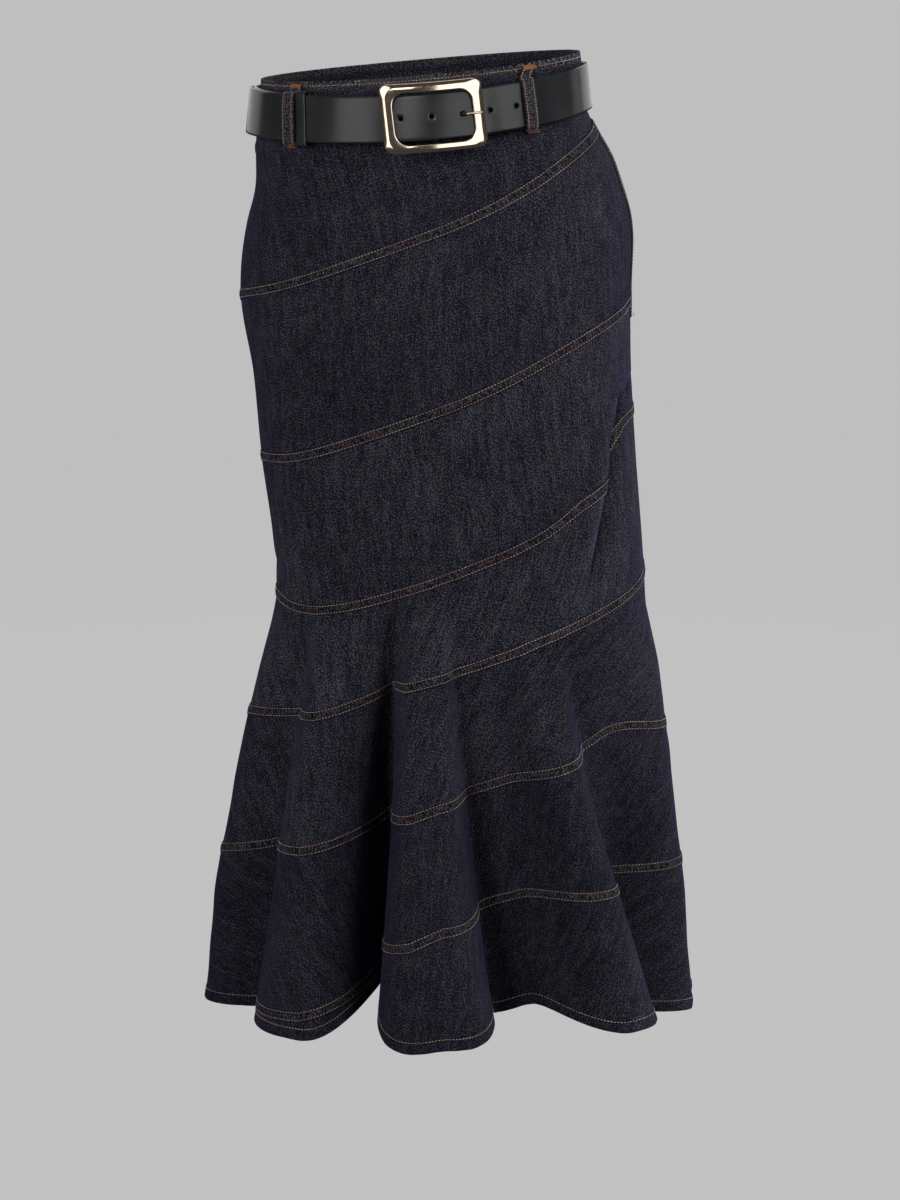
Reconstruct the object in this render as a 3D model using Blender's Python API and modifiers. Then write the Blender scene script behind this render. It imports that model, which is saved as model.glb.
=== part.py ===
"""Denim trumpet skirt with spiral felled seams, worn form, with its own leather belt.

Metres, +Z up, +X to the wearer's left, the front towards -Y.  The origin is the centre of the
waist opening.  The cloth is one surface worked out from the tables below: a level is a distance
below the waist edge, and a turn counts the folds of the flared hem round the body, starting at
the wearer's right side seam and going round by the front.
"""
import math

import bmesh
import bpy
import numpy as np
from mathutils import Matrix

MM = 0.001
PART_NAME = "denim_skirt"

# Driving dimensions, in millimetres and degrees
CLOTH_THICK = 1.5
BAND_THICK = 2.6
BAND_DEPTH = 45
SEAM_GAP = 0.4
SIDE_GAP_TURNS = 0.005
FLARE_TOP = 482
HEM_LEVEL = 866
FLARE_POWER = 0.85
SQUARENESS = 0.02
WAIST_TILT = math.radians(4.9)
WAIST_TILT_END = 272
WAIST_DIP = 4.5
RIGHT_SIDE_TURN = 10
LEAST_COLUMNS = 3               # from fold to fold
WIDEST_COLUMN = 6.5             # degrees
PANEL_ROWS = (0, 0.15, 0.55, 1)
EDGE_COLUMN_TURNS = 0.06

SECTION_COLUMNS = ("level", "half_width", "front", "back", "centre_x")
SECTIONS = (
    (0, 142, 98, 98, 0),        # waist edge
    (60, 148, 103, 103, 1),     # under the belt
    (98, 158, 108, 110, 10),
    (132, 169, 113, 116, 13),   # high hip
    (202, 175, 116, 128, 13),   # hip
    (272, 171, 112, 126, 19),   # seat
    (352, 170, 106, 114, 25),   # thigh
    (432, 168, 101, 106, 33),   # above the knee
    (487, 169, 99, 104, 35),    # knee, where the flare starts
    (552, 178, 108, 114, 33),
    (652, 190, 122, 130, 29),
    (772, 198, 134, 142, 26),
    (872, 202, 140, 150, 25),   # hem
)

# Angles from the front, growing to +X.  Reach and overhang are at the hem: the reach is outwards,
# and the overhang slides the flank that follows the fold along the skirt.
FOLD_COLUMNS = ("kind", "top_angle", "hem_angle", "reach", "overhang", "hem_rise")
FOLDS = (
    ("ridge", -90, -88, 28, 6, 2),
    ("valley", -60, -66, -34, -22, 5),
    ("ridge", -43, -37, 36, 12, 10),
    ("valley", -21, -19, -54, -20, 42),
    ("ridge", -13, -9, 37, 0, 4),
    ("ridge", -7, 2, 38, 12, 8),
    ("valley", -2, 12, -26, 0, 20),
    ("valley", 8, 24, -22, -6, 29),
    ("ridge", 20, 44, 34, 18, 10),
    ("valley", 32, 63, -42, -6, 0),
    ("ridge", 90, 88, 26, 8, -8),
    ("valley", 108, 108, -30, -10, 10),
    ("ridge", 128, 126, 34, 12, 0),
    ("valley", 148, 146, -32, -10, 16),
    ("ridge", 170, 168, 36, 12, 0),
    ("valley", 192, 190, -34, -10, 12),
    ("ridge", 214, 214, 34, 12, 0),
    ("valley", 240, 240, -30, -8, 8),
)

# Hollows pressed into the cloth where the legs stand: sizes are the reach of each hollow.
HOLLOWS = (
    # angle, level, half angle, half height, depth, slide
    (70, 385, 13, 62, 9, 7),
)

# Levels of the spiral seams on the front, at five places across it.  Behind, each seam drops on
# from its left end to the right end of the seam two rows further down.
SEAMS = (
    # name, and the levels at 90, 45, 0, -45 and -90 degrees
    ("A", 58, 84, 132, 177, 197),
    ("B", 202, 231, 289, 334, 347),
    ("C", 308, 379, 440, 476, 471),
    ("D", 462, 481, 525, 570, 584),
    ("E", 590, 600, 634, 688, 716),
    ("F", 726, 728, 740, 836, 893),
)
START_SEAM = "S"
START_SEAM_LEVEL = 58
LAST_SEAM_LEVEL = 850
SEAM_F_END_TURN = 1

# Panels between an upper and a lower edge, from one turn to another
FRONT_TURNS = (0, RIGHT_SIDE_TURN)
BACK_TURNS = (RIGHT_SIDE_TURN, len(FOLDS))
PANELS = (
    # name, upper edge, lower edge, first turn, last turn
    ("front_panel_1", "band", "A") + FRONT_TURNS,
    ("front_panel_2", "A", "B") + FRONT_TURNS,
    ("front_panel_3", "B", "C") + FRONT_TURNS,
    ("front_panel_4", "C", "D") + FRONT_TURNS,
    ("front_panel_5", "D", "E") + FRONT_TURNS,
    ("front_panel_6", "E", "F") + FRONT_TURNS,
    ("front_panel_7", "F", "hem", SEAM_F_END_TURN, RIGHT_SIDE_TURN),
    ("back_panel_1", "band", START_SEAM) + BACK_TURNS,
    ("back_panel_2", START_SEAM, "A") + BACK_TURNS,
    ("back_panel_3", "A", "B") + BACK_TURNS,
    ("back_panel_4", "B", "C") + BACK_TURNS,
    ("back_panel_5", "C", "D") + BACK_TURNS,
    ("back_panel_6", "D", "E") + BACK_TURNS,
    ("back_panel_7", "E", "hem") + BACK_TURNS,
)

# Belt: a cone-shaped ring whose own middle line is tilted and dips a little in front
BELT_WIDTH = 40
BELT_THICK = 3.2
BELT_HALF_WIDTH = 147.5
BELT_HALF_DEPTH = 106
BELT_CENTRE_X = 0.2
BELT_MIDDLE_Z = -27.5
BELT_TILT = math.radians(4.0)
BELT_DIP = 11
BELT_CONE = 2.0
BELT_LAYER = 3.7
BELT_START_ANGLE = -14
BELT_END_ANGLE = -466
BELT_RISE_FROM = -332
BELT_RISE_TO = -344
BELT_COLUMNS = 92
HOLE_RADIUS = 2.0
HOLE_ANGLES = (31.9, 22.3, 12.9, 3.5, -5.8)
PRONG_HOLE = 2

BUCKLE_ANGLE = 4.1
BUCKLE_WIDTH = 90
BUCKLE_HEIGHT = 60
BUCKLE_CORNER = 8
BUCKLE_THICK = 3.6
BUCKLE_STAND = 9.0
WINDOW_WIDTH = 68.7
WINDOW_HEIGHT = 44.9
WINDOW_CORNER = 12
WINDOW_SHIFT_X = 0.35
WINDOW_SHIFT_Z = -0.75
BAR_RADIUS = 1.5
BAR_INSET = 5.5
PRONG_RADIUS = 1.25

KEEPER_ANGLE = -40.4
KEEPER_WIDTH = 10.5
KEEPER_THICK = 1.6
KEEPER_CORNER = 3.0
KEEPER_COLUMNS = 24

LOOP_WIDTH = 12.5
LOOP_THICK = 1.8
LOOP_TOP = 1.0
LOOP_BOTTOM = 63
# Lift is the distance of the loop's inner face from the belt's first layer.
# Clear is how far it passes the strap's edges: the front right loop goes over the keeper too.
LOOPS = (
    # name, belt angle, cloth angle, lift, clear
    ("belt_loop_front_right", -42.8, -46.8, 9.6, 5.4),
    ("belt_loop_front_left", 36.7, 39, 3.7, 2.6),
    ("belt_loop_back_left", 118, 118, 3.7, 2.6),
    ("belt_loop_back_centre", 180, 180, 3.7, 2.6),
    ("belt_loop_back_right", 242, 242, 3.7, 2.6),
)

# Side zip in the wearer's left seam, under a narrow placket
ZIP_TOP = 4
ZIP_LENGTH = 225
ZIP_TAPE_WIDTH = 24
ZIP_TAPE_THICK = 1.0
PLACKET_WIDTH = 18
PLACKET_THICK = 1.2
PLACKET_STAND = 1.5
PLACKET_TOP = 58

# name, colour, roughness, metallic
FINISHES = {
    "denim": ((0.012, 0.014, 0.030), 0.85, 0.0),
    "leather": ((0.018, 0.019, 0.020), 0.42, 0.0),
    "gold": ((0.80, 0.62, 0.40), 0.18, 1.0),
    "zip_tape": ((0.010, 0.012, 0.022), 0.80, 0.0),
    "zip_metal": ((0.60, 0.48, 0.30), 0.35, 1.0),
}


def column(headings, rows, name):
    """One named column of a table as an array."""
    place = headings.index(name)
    return np.array([row[place] for row in rows], float)


def fold_column(name):
    """One named column of the fold table."""
    return column(FOLD_COLUMNS, FOLDS, name)


def smooth(places, values, place):
    """Cubic curve through a table's values, with each slope taken from the neighbouring rows."""
    slopes = np.gradient(values, places)
    place = np.clip(place, places[0], places[-1])
    low = np.clip(np.searchsorted(places, place, side="right") - 1, 0, len(places) - 2)
    step = places[low + 1] - places[low]
    t = (place - places[low]) / step
    ease = t * t * (3 - 2 * t)
    lift = t * (1 - t) ** 2 * step * slopes[low] - t * t * (1 - t) * step * slopes[low + 1]
    return values[low] * (1 - ease) + values[low + 1] * ease + lift


def fold_span(turn):
    """The fold before a turn, the fold after it, and how far the turn is from one to the other."""
    turn = np.mod(turn, len(FOLDS))
    first = np.minimum(np.floor(turn).astype(int), len(FOLDS) - 1)
    return first, (first + 1) % len(FOLDS), turn - first


def between_folds(turn, name):
    """A column of the fold table, carried from fold to fold by half a cosine wave."""
    before, after, part = fold_span(turn)
    weight = 0.5 + 0.5 * np.cos(math.pi * part)
    values = fold_column(name)
    return values[before] * weight + values[after] * (1 - weight)


def fold_angle(turn, name):
    """Angle of a turn in degrees, from the table's column for the flare's top or for the hem."""
    angles = fold_column(name)
    angles = np.append(angles, angles[0] + 360)
    before, _, part = fold_span(turn)
    return angles[before] + (angles[before + 1] - angles[before]) * part


def section_size(name, level):
    """A size of the section at some levels, from a column of the section table."""
    levels = column(SECTION_COLUMNS, SECTIONS, "level")
    return smooth(levels, column(SECTION_COLUMNS, SECTIONS, name), level)


def squared_ellipse(angle, half_width, half_depth, out, slide=0.0):
    """A ring's points at an angle in radians, moved out along its normal and slid along it."""
    sine, cosine = np.sin(angle), np.cos(angle)
    x = half_width * ((1 + SQUARENESS) * sine + SQUARENESS * np.sin(3 * angle))
    y = -half_depth * ((1 + SQUARENESS) * cosine - SQUARENESS * np.cos(3 * angle))
    length = np.hypot(half_depth * sine, half_width * cosine)
    normal_x, normal_y = half_depth * sine / length, -half_width * cosine / length
    return x + out * normal_x - slide * normal_y, y + out * normal_y + slide * normal_x


def surface(turn, level, out=0.0):
    """Points of the outer cloth in millimetres, moved out by a distance.

    The section at each level is a slightly squared ellipse.  The folds push it out and in along
    its normal and slide their flanks along it, and they grow from the flare's top to the hem.
    """
    turn, level = np.broadcast_arrays(np.asarray(turn, float), np.asarray(level, float))
    grown = np.clip((level - FLARE_TOP) / (HEM_LEVEL - FLARE_TOP), 0, None)
    top_angle = fold_angle(turn, "top_angle")
    spread = fold_angle(turn, "hem_angle") - top_angle
    angle = np.radians(top_angle + spread * np.clip(grown, 0, 1))
    fan = grown ** FLARE_POWER
    before, _, part = fold_span(turn)
    slide = fan * fold_column("overhang")[before] * np.sin(math.pi * part)
    out = out + fan * between_folds(turn, "reach")
    for middle, height, half_angle, half_height, depth, sideways in HOLLOWS:
        across = (np.degrees(angle) - middle) / half_angle
        along = (level - height) / half_height
        press = np.exp(-across ** 2 - along ** 2)
        out = out - depth * press
        slide = slide + sideways * press
    half, front, back, centre = [section_size(name, level) for name in SECTION_COLUMNS[1:]]
    facing = np.clip(np.cos(angle), 0, 1)
    x, y = squared_ellipse(angle, half, np.where(facing > 0, front, back), out, slide)
    fade = np.clip(1 - level / WAIST_TILT_END, 0, 1)
    z = fade * (math.tan(WAIST_TILT) * x - WAIST_DIP * facing ** 2) - level
    return np.stack([x + centre, y, z], axis=-1)


def turn_at(angle):
    """The turn that lies at an angle above the flare."""
    angles = fold_column("top_angle")
    angles = np.append(angles, angles[0] + 360)
    return np.interp(angle, angles, np.arange(len(angles), dtype=float))


def spiral_levels(first):
    """One of the two spirals: degrees wound from the first side seam, and the level there."""
    wound, levels = [], []
    if first == 1:
        wound.append(180.0)
        levels.append(START_SEAM_LEVEL)
    for number, row in enumerate(SEAMS[first::2]):
        for place, level in enumerate(row[1:]):
            wound.append(360.0 * (number + first) + 45.0 * place)
            levels.append(level)
    if first == 0:
        wound.append(1080.0)
        levels.append(LAST_SEAM_LEVEL)
    return np.array(wound), np.array(levels, float)


def seam_level(name, turn):
    """Level of a spiral seam at a turn."""
    number = (START_SEAM + "".join(row[0] for row in SEAMS)).index(name) - 1
    first = number % 2
    start = np.where(turn <= RIGHT_SIDE_TURN, 90.0, 450.0)
    wound, levels = spiral_levels(first)
    wound_here = start - fold_angle(turn, "top_angle") + 360.0 * ((number + first) // 2)
    return smooth(wound, levels, wound_here)


def edge_level(name, turn):
    """Level of a panel's edge: the waistband's lower edge, the hem, or a seam above the hem."""
    hem = HEM_LEVEL - between_folds(turn, "hem_rise")
    if name == "band":
        return np.full_like(turn, BAND_DEPTH)
    if name == "hem":
        return hem
    return np.minimum(seam_level(name, turn), hem)


def belt_ring(angle, across, out):
    """Points of the belt in millimetres: across is up the strap, out is off its inner face."""
    turn = np.radians(angle)
    out = out - BELT_CONE * across / (BELT_WIDTH / 2)
    x, y = squared_ellipse(turn, BELT_HALF_WIDTH, BELT_HALF_DEPTH, out)
    dip = BELT_DIP * np.clip(np.cos(turn), 0, 1) ** 2
    z = BELT_MIDDLE_Z + math.tan(BELT_TILT) * x - dip + across
    return np.stack([x + BELT_CENTRE_X, y, z], axis=-1)


def belt_degrees(length, angle, out=0.0):
    """Degrees round the belt that a length takes up at an angle and a distance off it."""
    arc = belt_ring(np.array(angle + 0.5), 0.0, out) - belt_ring(np.array(angle - 0.5), 0.0, out)
    return length / np.linalg.norm(arc)


def belt_layer(angle):
    """How far the strap stands off its first layer: it rises before it laps over itself."""
    part = np.clip((BELT_RISE_FROM - angle) / (BELT_RISE_FROM - BELT_RISE_TO), 0, 1)
    return BELT_LAYER * part * part * (3 - 2 * part)


def belt_frame(angle, out):
    """Placement on the belt in metres: X along the strap, Y up across it, Z out of it."""
    here = belt_ring(np.array(float(angle)), 0.0, out)
    along = belt_ring(np.array(angle + 0.5), 0.0, out) - belt_ring(np.array(angle - 0.5), 0.0, out)
    along = along / np.linalg.norm(along)
    outward = np.cross(along, (0.0, 0.0, 1.0))
    outward = outward / np.linalg.norm(outward)
    upward = np.cross(outward, along)
    placement = Matrix.Identity(4)
    for axis, vector in enumerate((along, upward, outward)):
        for row in range(3):
            placement[row][axis] = vector[row]
    for row in range(3):
        placement[row][3] = here[row] * MM
    return placement


def make_material(name):
    """A plain Principled material of one of the finishes."""
    colour, roughness, metallic = FINISHES[name]
    material = bpy.data.materials.new(name)
    material.use_nodes = True
    shader = material.node_tree.nodes["Principled BSDF"]
    shader.inputs["Base Color"].default_value = colour + (1.0,)
    shader.inputs["Roughness"].default_value = roughness
    shader.inputs["Metallic"].default_value = metallic
    return material


def add_object(name, data, collection, material):
    """An object for some mesh or curve data, with its material."""
    piece = bpy.data.objects.new(name, data)
    data.materials.append(material)
    collection.objects.link(piece)
    return piece


def grid_mesh(name, columns, rows, place):
    """A grid whose points are placed by a function of two parameters from 0 to 1."""
    grid = bmesh.new()
    bmesh.ops.create_grid(grid, x_segments=columns, y_segments=rows, size=1.0)
    flat = np.array([vertex.co[:2] for vertex in grid.verts])
    points = place((flat[:, 0] + 1) / 2, (flat[:, 1] + 1) / 2) * MM
    for vertex, point in zip(grid.verts, points):
        vertex.co = point
    mesh = bpy.data.meshes.new(name)
    grid.to_mesh(mesh)
    grid.free()
    mesh.shade_smooth()
    return mesh


def thicken(piece, thickness):
    """Give an open surface a wall, inwards from its outer face."""
    wall = piece.modifiers.new("wall", "SOLIDIFY")
    wall.thickness = thickness * MM
    wall.offset = -1.0


def column_turns(first_turn, last_turn):
    """Turns of a piece's columns, the same in all pieces, with a narrow one at a side seam."""
    turns = []
    for fold in range(first_turn, last_turn):
        widths = [2 * (fold_angle(fold + 0.5, name) - fold_angle(fold, name))
                  for name in ("top_angle", "hem_angle")]
        count = max(LEAST_COLUMNS, math.ceil(max(widths) / WIDEST_COLUMN))
        turns.append(fold + np.arange(count) / count)
    turns = np.append(np.concatenate(turns), last_turn - SIDE_GAP_TURNS)
    turns = np.insert(turns, -1, last_turn - EDGE_COLUMN_TURNS)
    if first_turn in (0, RIGHT_SIDE_TURN):
        turns[0] = first_turn + SIDE_GAP_TURNS
        turns = np.insert(turns, 1, first_turn + EDGE_COLUMN_TURNS)
    return turns


def make_panel(row, collection, material):
    """One cut piece of the skirt between two spiral edges."""
    name, upper, lower, first_turn, last_turn = row
    turns = column_turns(first_turn, last_turn)

    def place(along, up):
        turn = np.interp(along, np.linspace(0, 1, len(turns)), turns)
        top = edge_level(upper, turn) + SEAM_GAP / 2
        bottom = edge_level(lower, turn) - (0 if lower == "hem" else SEAM_GAP / 2)
        down = np.interp(1 - up, np.linspace(0, 1, len(PANEL_ROWS)), PANEL_ROWS)
        return surface(turn, top + (bottom - top) * down)

    mesh = grid_mesh(name, len(turns) - 1, len(PANEL_ROWS) - 1, place)
    thicken(add_object(name, mesh, collection, material), CLOTH_THICK)


def make_waistband(name, turns, collection, material):
    """Half of the waistband, from side seam to side seam."""
    turns = column_turns(*turns)

    def place(along, up):
        turn = np.interp(along, np.linspace(0, 1, len(turns)), turns)
        return surface(turn, (BAND_DEPTH - SEAM_GAP / 2) * (1 - up))

    mesh = grid_mesh(name, len(turns) - 1, 1, place)
    thicken(add_object(name, mesh, collection, material), BAND_THICK)


def make_belt_loop(row, collection, material):
    """A denim loop: from the waistband's edge, out over the belt and back onto the panel below."""
    name, angle, cloth_angle, lift, clear = row
    half_step = belt_degrees(LOOP_WIDTH / 2, angle)
    lowest = BELT_WIDTH / 2 + clear
    route = np.array((
        # height across the belt, distance off the belt's first layer
        (lowest, LOOP_THICK + 1.0),
        (lowest, lift + LOOP_THICK),
        (lowest - 5, lift + LOOP_THICK + 1.0),
        (0, lift + LOOP_THICK + 1.6),
        (5 - lowest, lift + LOOP_THICK + 1.0),
        (-lowest, lift + LOOP_THICK),
        (-lowest, LOOP_THICK + 1.0),
    ))
    turn = turn_at(cloth_angle)
    step = (surface(turn_at(cloth_angle + 1), 30.0) - surface(turn_at(cloth_angle - 1), 30.0)) / 2
    turn_width = (turn_at(cloth_angle + 1) - turn_at(cloth_angle - 1)) / 2 / np.linalg.norm(step)

    def place(along, up):
        side = 2 * along - 1
        cloth_turn = turn + LOOP_WIDTH / 2 * turn_width * side
        knot = np.round((1 - up) * (len(route) + 1)).astype(int)
        belt_row = np.clip(knot - 1, 0, len(route) - 1)
        points = belt_ring(angle + half_step * side, route[belt_row, 0], route[belt_row, 1])
        top = surface(cloth_turn, LOOP_TOP, LOOP_THICK + 0.6)
        bottom = surface(cloth_turn, LOOP_BOTTOM, LOOP_THICK + 0.8)
        points = np.where((knot == 0)[:, None], top, points)
        return np.where((knot == len(route) + 1)[:, None], bottom, points)

    mesh = grid_mesh(name, 2, len(route) + 1, place)
    thicken(add_object(name, mesh, collection, material), LOOP_THICK)


def make_belt_strap(collection, cutters, material):
    """The strap: once round the waist and on over its own start, with its punched holes."""
    def place(along, up):
        angle = BELT_END_ANGLE + (BELT_START_ANGLE - BELT_END_ANGLE) * along
        return belt_ring(angle, BELT_WIDTH * (up - 0.5), belt_layer(angle) + BELT_THICK)

    strap = add_object("belt_strap", grid_mesh("belt_strap", BELT_COLUMNS, 1, place), collection,
                       material)
    thicken(strap, BELT_THICK)
    for number, angle in enumerate(HOLE_ANGLES):
        drill = bmesh.new()
        bmesh.ops.create_cone(drill, cap_ends=True, segments=12, radius1=HOLE_RADIUS * MM,
                              radius2=HOLE_RADIUS * MM, depth=4 * BELT_THICK * MM)
        mesh = bpy.data.meshes.new("hole")
        drill.to_mesh(mesh)
        drill.free()
        cutter = bpy.data.objects.new(f"hole_cutter_{number + 1}", mesh)
        cutter.matrix_world = belt_frame(angle, belt_layer(angle - 360) + BELT_THICK / 2)
        cutter.hide_render = True
        cutter.display_type = "WIRE"
        cutters.objects.link(cutter)
        cut = strap.modifiers.new(f"hole_{number + 1}", "BOOLEAN")
        cut.operation = "DIFFERENCE"
        cut.object = cutter


def rounded_outline(part, width, height, corner):
    """Points of a rounded rectangle at parts from 0 to 1 of the way round, by straights and arcs."""
    half_w, half_h = width / 2 - corner, height / 2 - corner
    quarter = np.floor(part * 4).astype(int) % 4
    within = part * 4 - np.floor(part * 4)
    turn = math.pi / 2 * (quarter + np.clip((within - 0.3) / 0.4, 0, 1))
    side_x = np.array((1, -1, -1, 1))[quarter] * half_w
    side_y = np.array((1, 1, -1, -1))[quarter] * half_h
    upright = quarter % 2 == 0
    start = np.where(within < 0.3, within / 0.3, 1.0)
    end = np.where(within > 0.7, (1.0 - within) / 0.3, 1.0)
    side_x = side_x * np.where(upright, end, start)
    side_y = side_y * np.where(upright, start, end)
    return side_x + corner * np.cos(turn), side_y + corner * np.sin(turn)


def buckle_point(x, y, out):
    """A point of the buckle: x along the strap, y up, out off the belt, bent with the belt."""
    angle = BUCKLE_ANGLE + belt_degrees(x, BUCKLE_ANGLE, BUCKLE_STAND)
    return belt_ring(angle, y, out)


def make_buckle_frame(collection, material):
    """A rounded rectangular frame: one bar section carried round, between two outlines."""
    around, section = 48, 8

    def place(along, up):
        part = along % 1.0
        turn = 2 * math.pi * up
        outer_x, outer_y = rounded_outline(part, BUCKLE_WIDTH, BUCKLE_HEIGHT, BUCKLE_CORNER)
        inner_x, inner_y = rounded_outline(part, WINDOW_WIDTH, WINDOW_HEIGHT, WINDOW_CORNER)
        inner_x = inner_x + WINDOW_SHIFT_X
        inner_y = inner_y + WINDOW_SHIFT_Z
        share = 0.5 + 0.5 * np.sign(np.cos(turn)) * np.abs(np.cos(turn)) ** 0.5
        lift = BUCKLE_THICK / 2 * np.sign(np.sin(turn)) * np.abs(np.sin(turn)) ** 0.5
        x = inner_x + (outer_x - inner_x) * share
        y = inner_y + (outer_y - inner_y) * share
        return buckle_point(x, y, BUCKLE_STAND + BUCKLE_THICK / 2 + lift)

    mesh = grid_mesh("buckle_frame", around, section, place)
    ring = bmesh.new()
    ring.from_mesh(mesh)
    bmesh.ops.remove_doubles(ring, verts=ring.verts, dist=0.0001)
    bmesh.ops.recalc_face_normals(ring, faces=ring.faces)
    ring.to_mesh(mesh)
    ring.free()
    add_object("buckle_frame", mesh, collection, material)


def make_wire(name, points, radius, collection, material):
    """A round wire with closed ends along some points in millimetres."""
    curve = bpy.data.curves.new(name, "CURVE")
    curve.dimensions = "3D"
    curve.bevel_depth = radius * MM
    curve.bevel_resolution = 2
    curve.use_fill_caps = True
    wire = curve.splines.new("POLY")
    wire.points.add(len(points) - 1)
    for knot, point in zip(wire.points, points):
        knot.co = tuple(point * MM) + (1.0,)
    return add_object(name, curve, collection, material)


def make_buckle_bar(collection, material):
    """The rear bar on the frame's left that the strap's start and the prong hang on."""
    x = BAR_INSET - BUCKLE_WIDTH / 2
    top = BUCKLE_HEIGHT / 2 - 4.2
    rest = BUCKLE_STAND - 0.3
    behind = 2.0
    route = ((top, rest), (top, behind + 1), (top - 1, behind), (-top + 1, behind),
             (-top, behind + 1), (-top, rest))
    points = [buckle_point(np.array(x), y, out) for y, out in route]
    make_wire("buckle_bar", points, BAR_RADIUS, collection, material)


def make_prong(collection, material):
    """The prong: from the rear bar, behind the strap, out through its hole and over the frame."""
    hole_x = (HOLE_ANGLES[PRONG_HOLE] - BUCKLE_ANGLE) / belt_degrees(1.0, BUCKLE_ANGLE, BUCKLE_STAND)
    frame_face = BUCKLE_STAND + BUCKLE_THICK + PRONG_RADIUS + 0.3
    bar_x = BAR_INSET - BUCKLE_WIDTH / 2
    route = (
        # x, out
        (bar_x + 3.3, 2.0),
        (bar_x + 8.0, 1.9),
        (hole_x - 9.0, 1.7),
        (hole_x - 1.4, 1.9),
        (hole_x - 0.2, 3.2),
        (hole_x + 0.2, 7.6),
        (hole_x + 2.5, frame_face - 1.2),
        (hole_x + 6.0, frame_face),
        (BUCKLE_WIDTH / 2 - 2.5, frame_face),
    )
    points = [buckle_point(np.array(x), 0.0, out) for x, out in route]
    make_wire("buckle_prong", points, PRONG_RADIUS, collection, material)


def make_keeper(collection, material):
    """The leather keeper: a flat band closed round both layers of the strap."""
    outside_low, outside_high = -0.5 - KEEPER_THICK, BELT_LAYER + BELT_THICK + 0.5 + KEEPER_THICK
    height = outside_high - outside_low
    middle = (outside_low + outside_high) / 2
    half_up = BELT_WIDTH / 2 + 2.0 + KEEPER_THICK

    def place(along, up):
        ring_y, ring_out = rounded_outline(along % 1.0, 2 * half_up, height, KEEPER_CORNER)
        angle = KEEPER_ANGLE + belt_degrees(KEEPER_WIDTH * (up - 0.5), KEEPER_ANGLE)
        return belt_ring(angle, ring_y, middle + ring_out)

    mesh = grid_mesh("belt_keeper", KEEPER_COLUMNS, 3, place)
    ring = bmesh.new()
    ring.from_mesh(mesh)
    bmesh.ops.remove_doubles(ring, verts=ring.verts, dist=0.0001)
    ring.to_mesh(mesh)
    ring.free()
    keeper = add_object("belt_keeper", mesh, collection, material)
    thicken(keeper, KEEPER_THICK)


def make_zip(collection, materials):
    """The side zip: a placket on the seam, a tape behind it, and the slider at its top."""
    degree = np.linalg.norm(surface(turn_at(91.0), 150.0) - surface(turn_at(89.0), 150.0)) / 2

    def strip(low, high, top, length, out):
        def place(along, up):
            turn = turn_at(90 + (low + (high - low) * along) / degree)
            return surface(turn, top + length * (1 - up), out)
        return place

    placket = grid_mesh("zip_placket", 3, 8, strip(
        -PLACKET_WIDTH, 2.0, PLACKET_TOP, ZIP_LENGTH - PLACKET_TOP, PLACKET_STAND + PLACKET_THICK))
    thicken(add_object("zip_placket", placket, collection, materials["denim"]), PLACKET_THICK)
    tape_out = -BAND_THICK - 2.0
    half = ZIP_TAPE_WIDTH / 2
    tape = grid_mesh("zip_tape", 3, 8, strip(-half, half, ZIP_TOP, ZIP_LENGTH, tape_out))
    thicken(add_object("zip_tape", tape, collection, materials["zip_tape"]), ZIP_TAPE_THICK)
    slider_out = tape_out - ZIP_TAPE_THICK - 0.4
    slider = grid_mesh("zip_slider", 2, 3, strip(-4.0, 4.0, ZIP_TOP + 4, 11.0, slider_out))
    thicken(add_object("zip_slider", slider, collection, materials["zip_metal"]), 2.6)


def main():
    for old in list(bpy.data.objects):
        bpy.data.objects.remove(old, do_unlink=True)
    collection = bpy.data.collections.new(PART_NAME)
    cutters = bpy.data.collections.new("cutters")
    for group in (collection, cutters):
        bpy.context.scene.collection.children.link(group)
    materials = {name: make_material(name) for name in FINISHES}
    for row in PANELS:
        make_panel(row, collection, materials["denim"])
    make_waistband("waistband_front", FRONT_TURNS, collection, materials["denim"])
    make_waistband("waistband_back", BACK_TURNS, collection, materials["denim"])
    for row in LOOPS:
        make_belt_loop(row, collection, materials["denim"])
    make_belt_strap(collection, cutters, materials["leather"])
    make_keeper(collection, materials["leather"])
    make_buckle_frame(collection, materials["gold"])
    make_buckle_bar(collection, materials["gold"])
    make_prong(collection, materials["gold"])
    make_zip(collection, materials)


main()
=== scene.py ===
"""Denim trumpet skirt with spiral felled seams and its own leather belt, dressed over its frame.

Sizes in the tables and functions are millimetres and degrees, and the finished meshes are metres,
in the frame's own axes: +Z up, +X to the wearer's left, the front towards -Y, and the origin at
the centre of the waist opening.  A level is a distance below the waist edge.  A turn counts the
folds of the flared hem round the body, from the wearer's right side seam round by the front.
"""
import math

import bpy
import numpy as np
from bpy.props import FloatProperty, FloatVectorProperty, PointerProperty
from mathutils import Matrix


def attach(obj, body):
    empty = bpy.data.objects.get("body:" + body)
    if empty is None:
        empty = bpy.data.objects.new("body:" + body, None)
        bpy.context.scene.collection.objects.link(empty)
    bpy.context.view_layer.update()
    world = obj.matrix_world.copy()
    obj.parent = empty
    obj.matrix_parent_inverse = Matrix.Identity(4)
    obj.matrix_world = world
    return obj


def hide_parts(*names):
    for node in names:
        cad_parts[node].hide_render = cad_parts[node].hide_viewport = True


bl_info = {
    "name": "Spiral Seam Denim Skirt",
    "version": (1, 0, 0),
    "blender": (4, 5, 0),
    "location": "3D View > Sidebar > Skirt",
    "description": "Builds a denim trumpet skirt with felled spiral seams and a buckled belt",
    "category": "Add Mesh",
}

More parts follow.
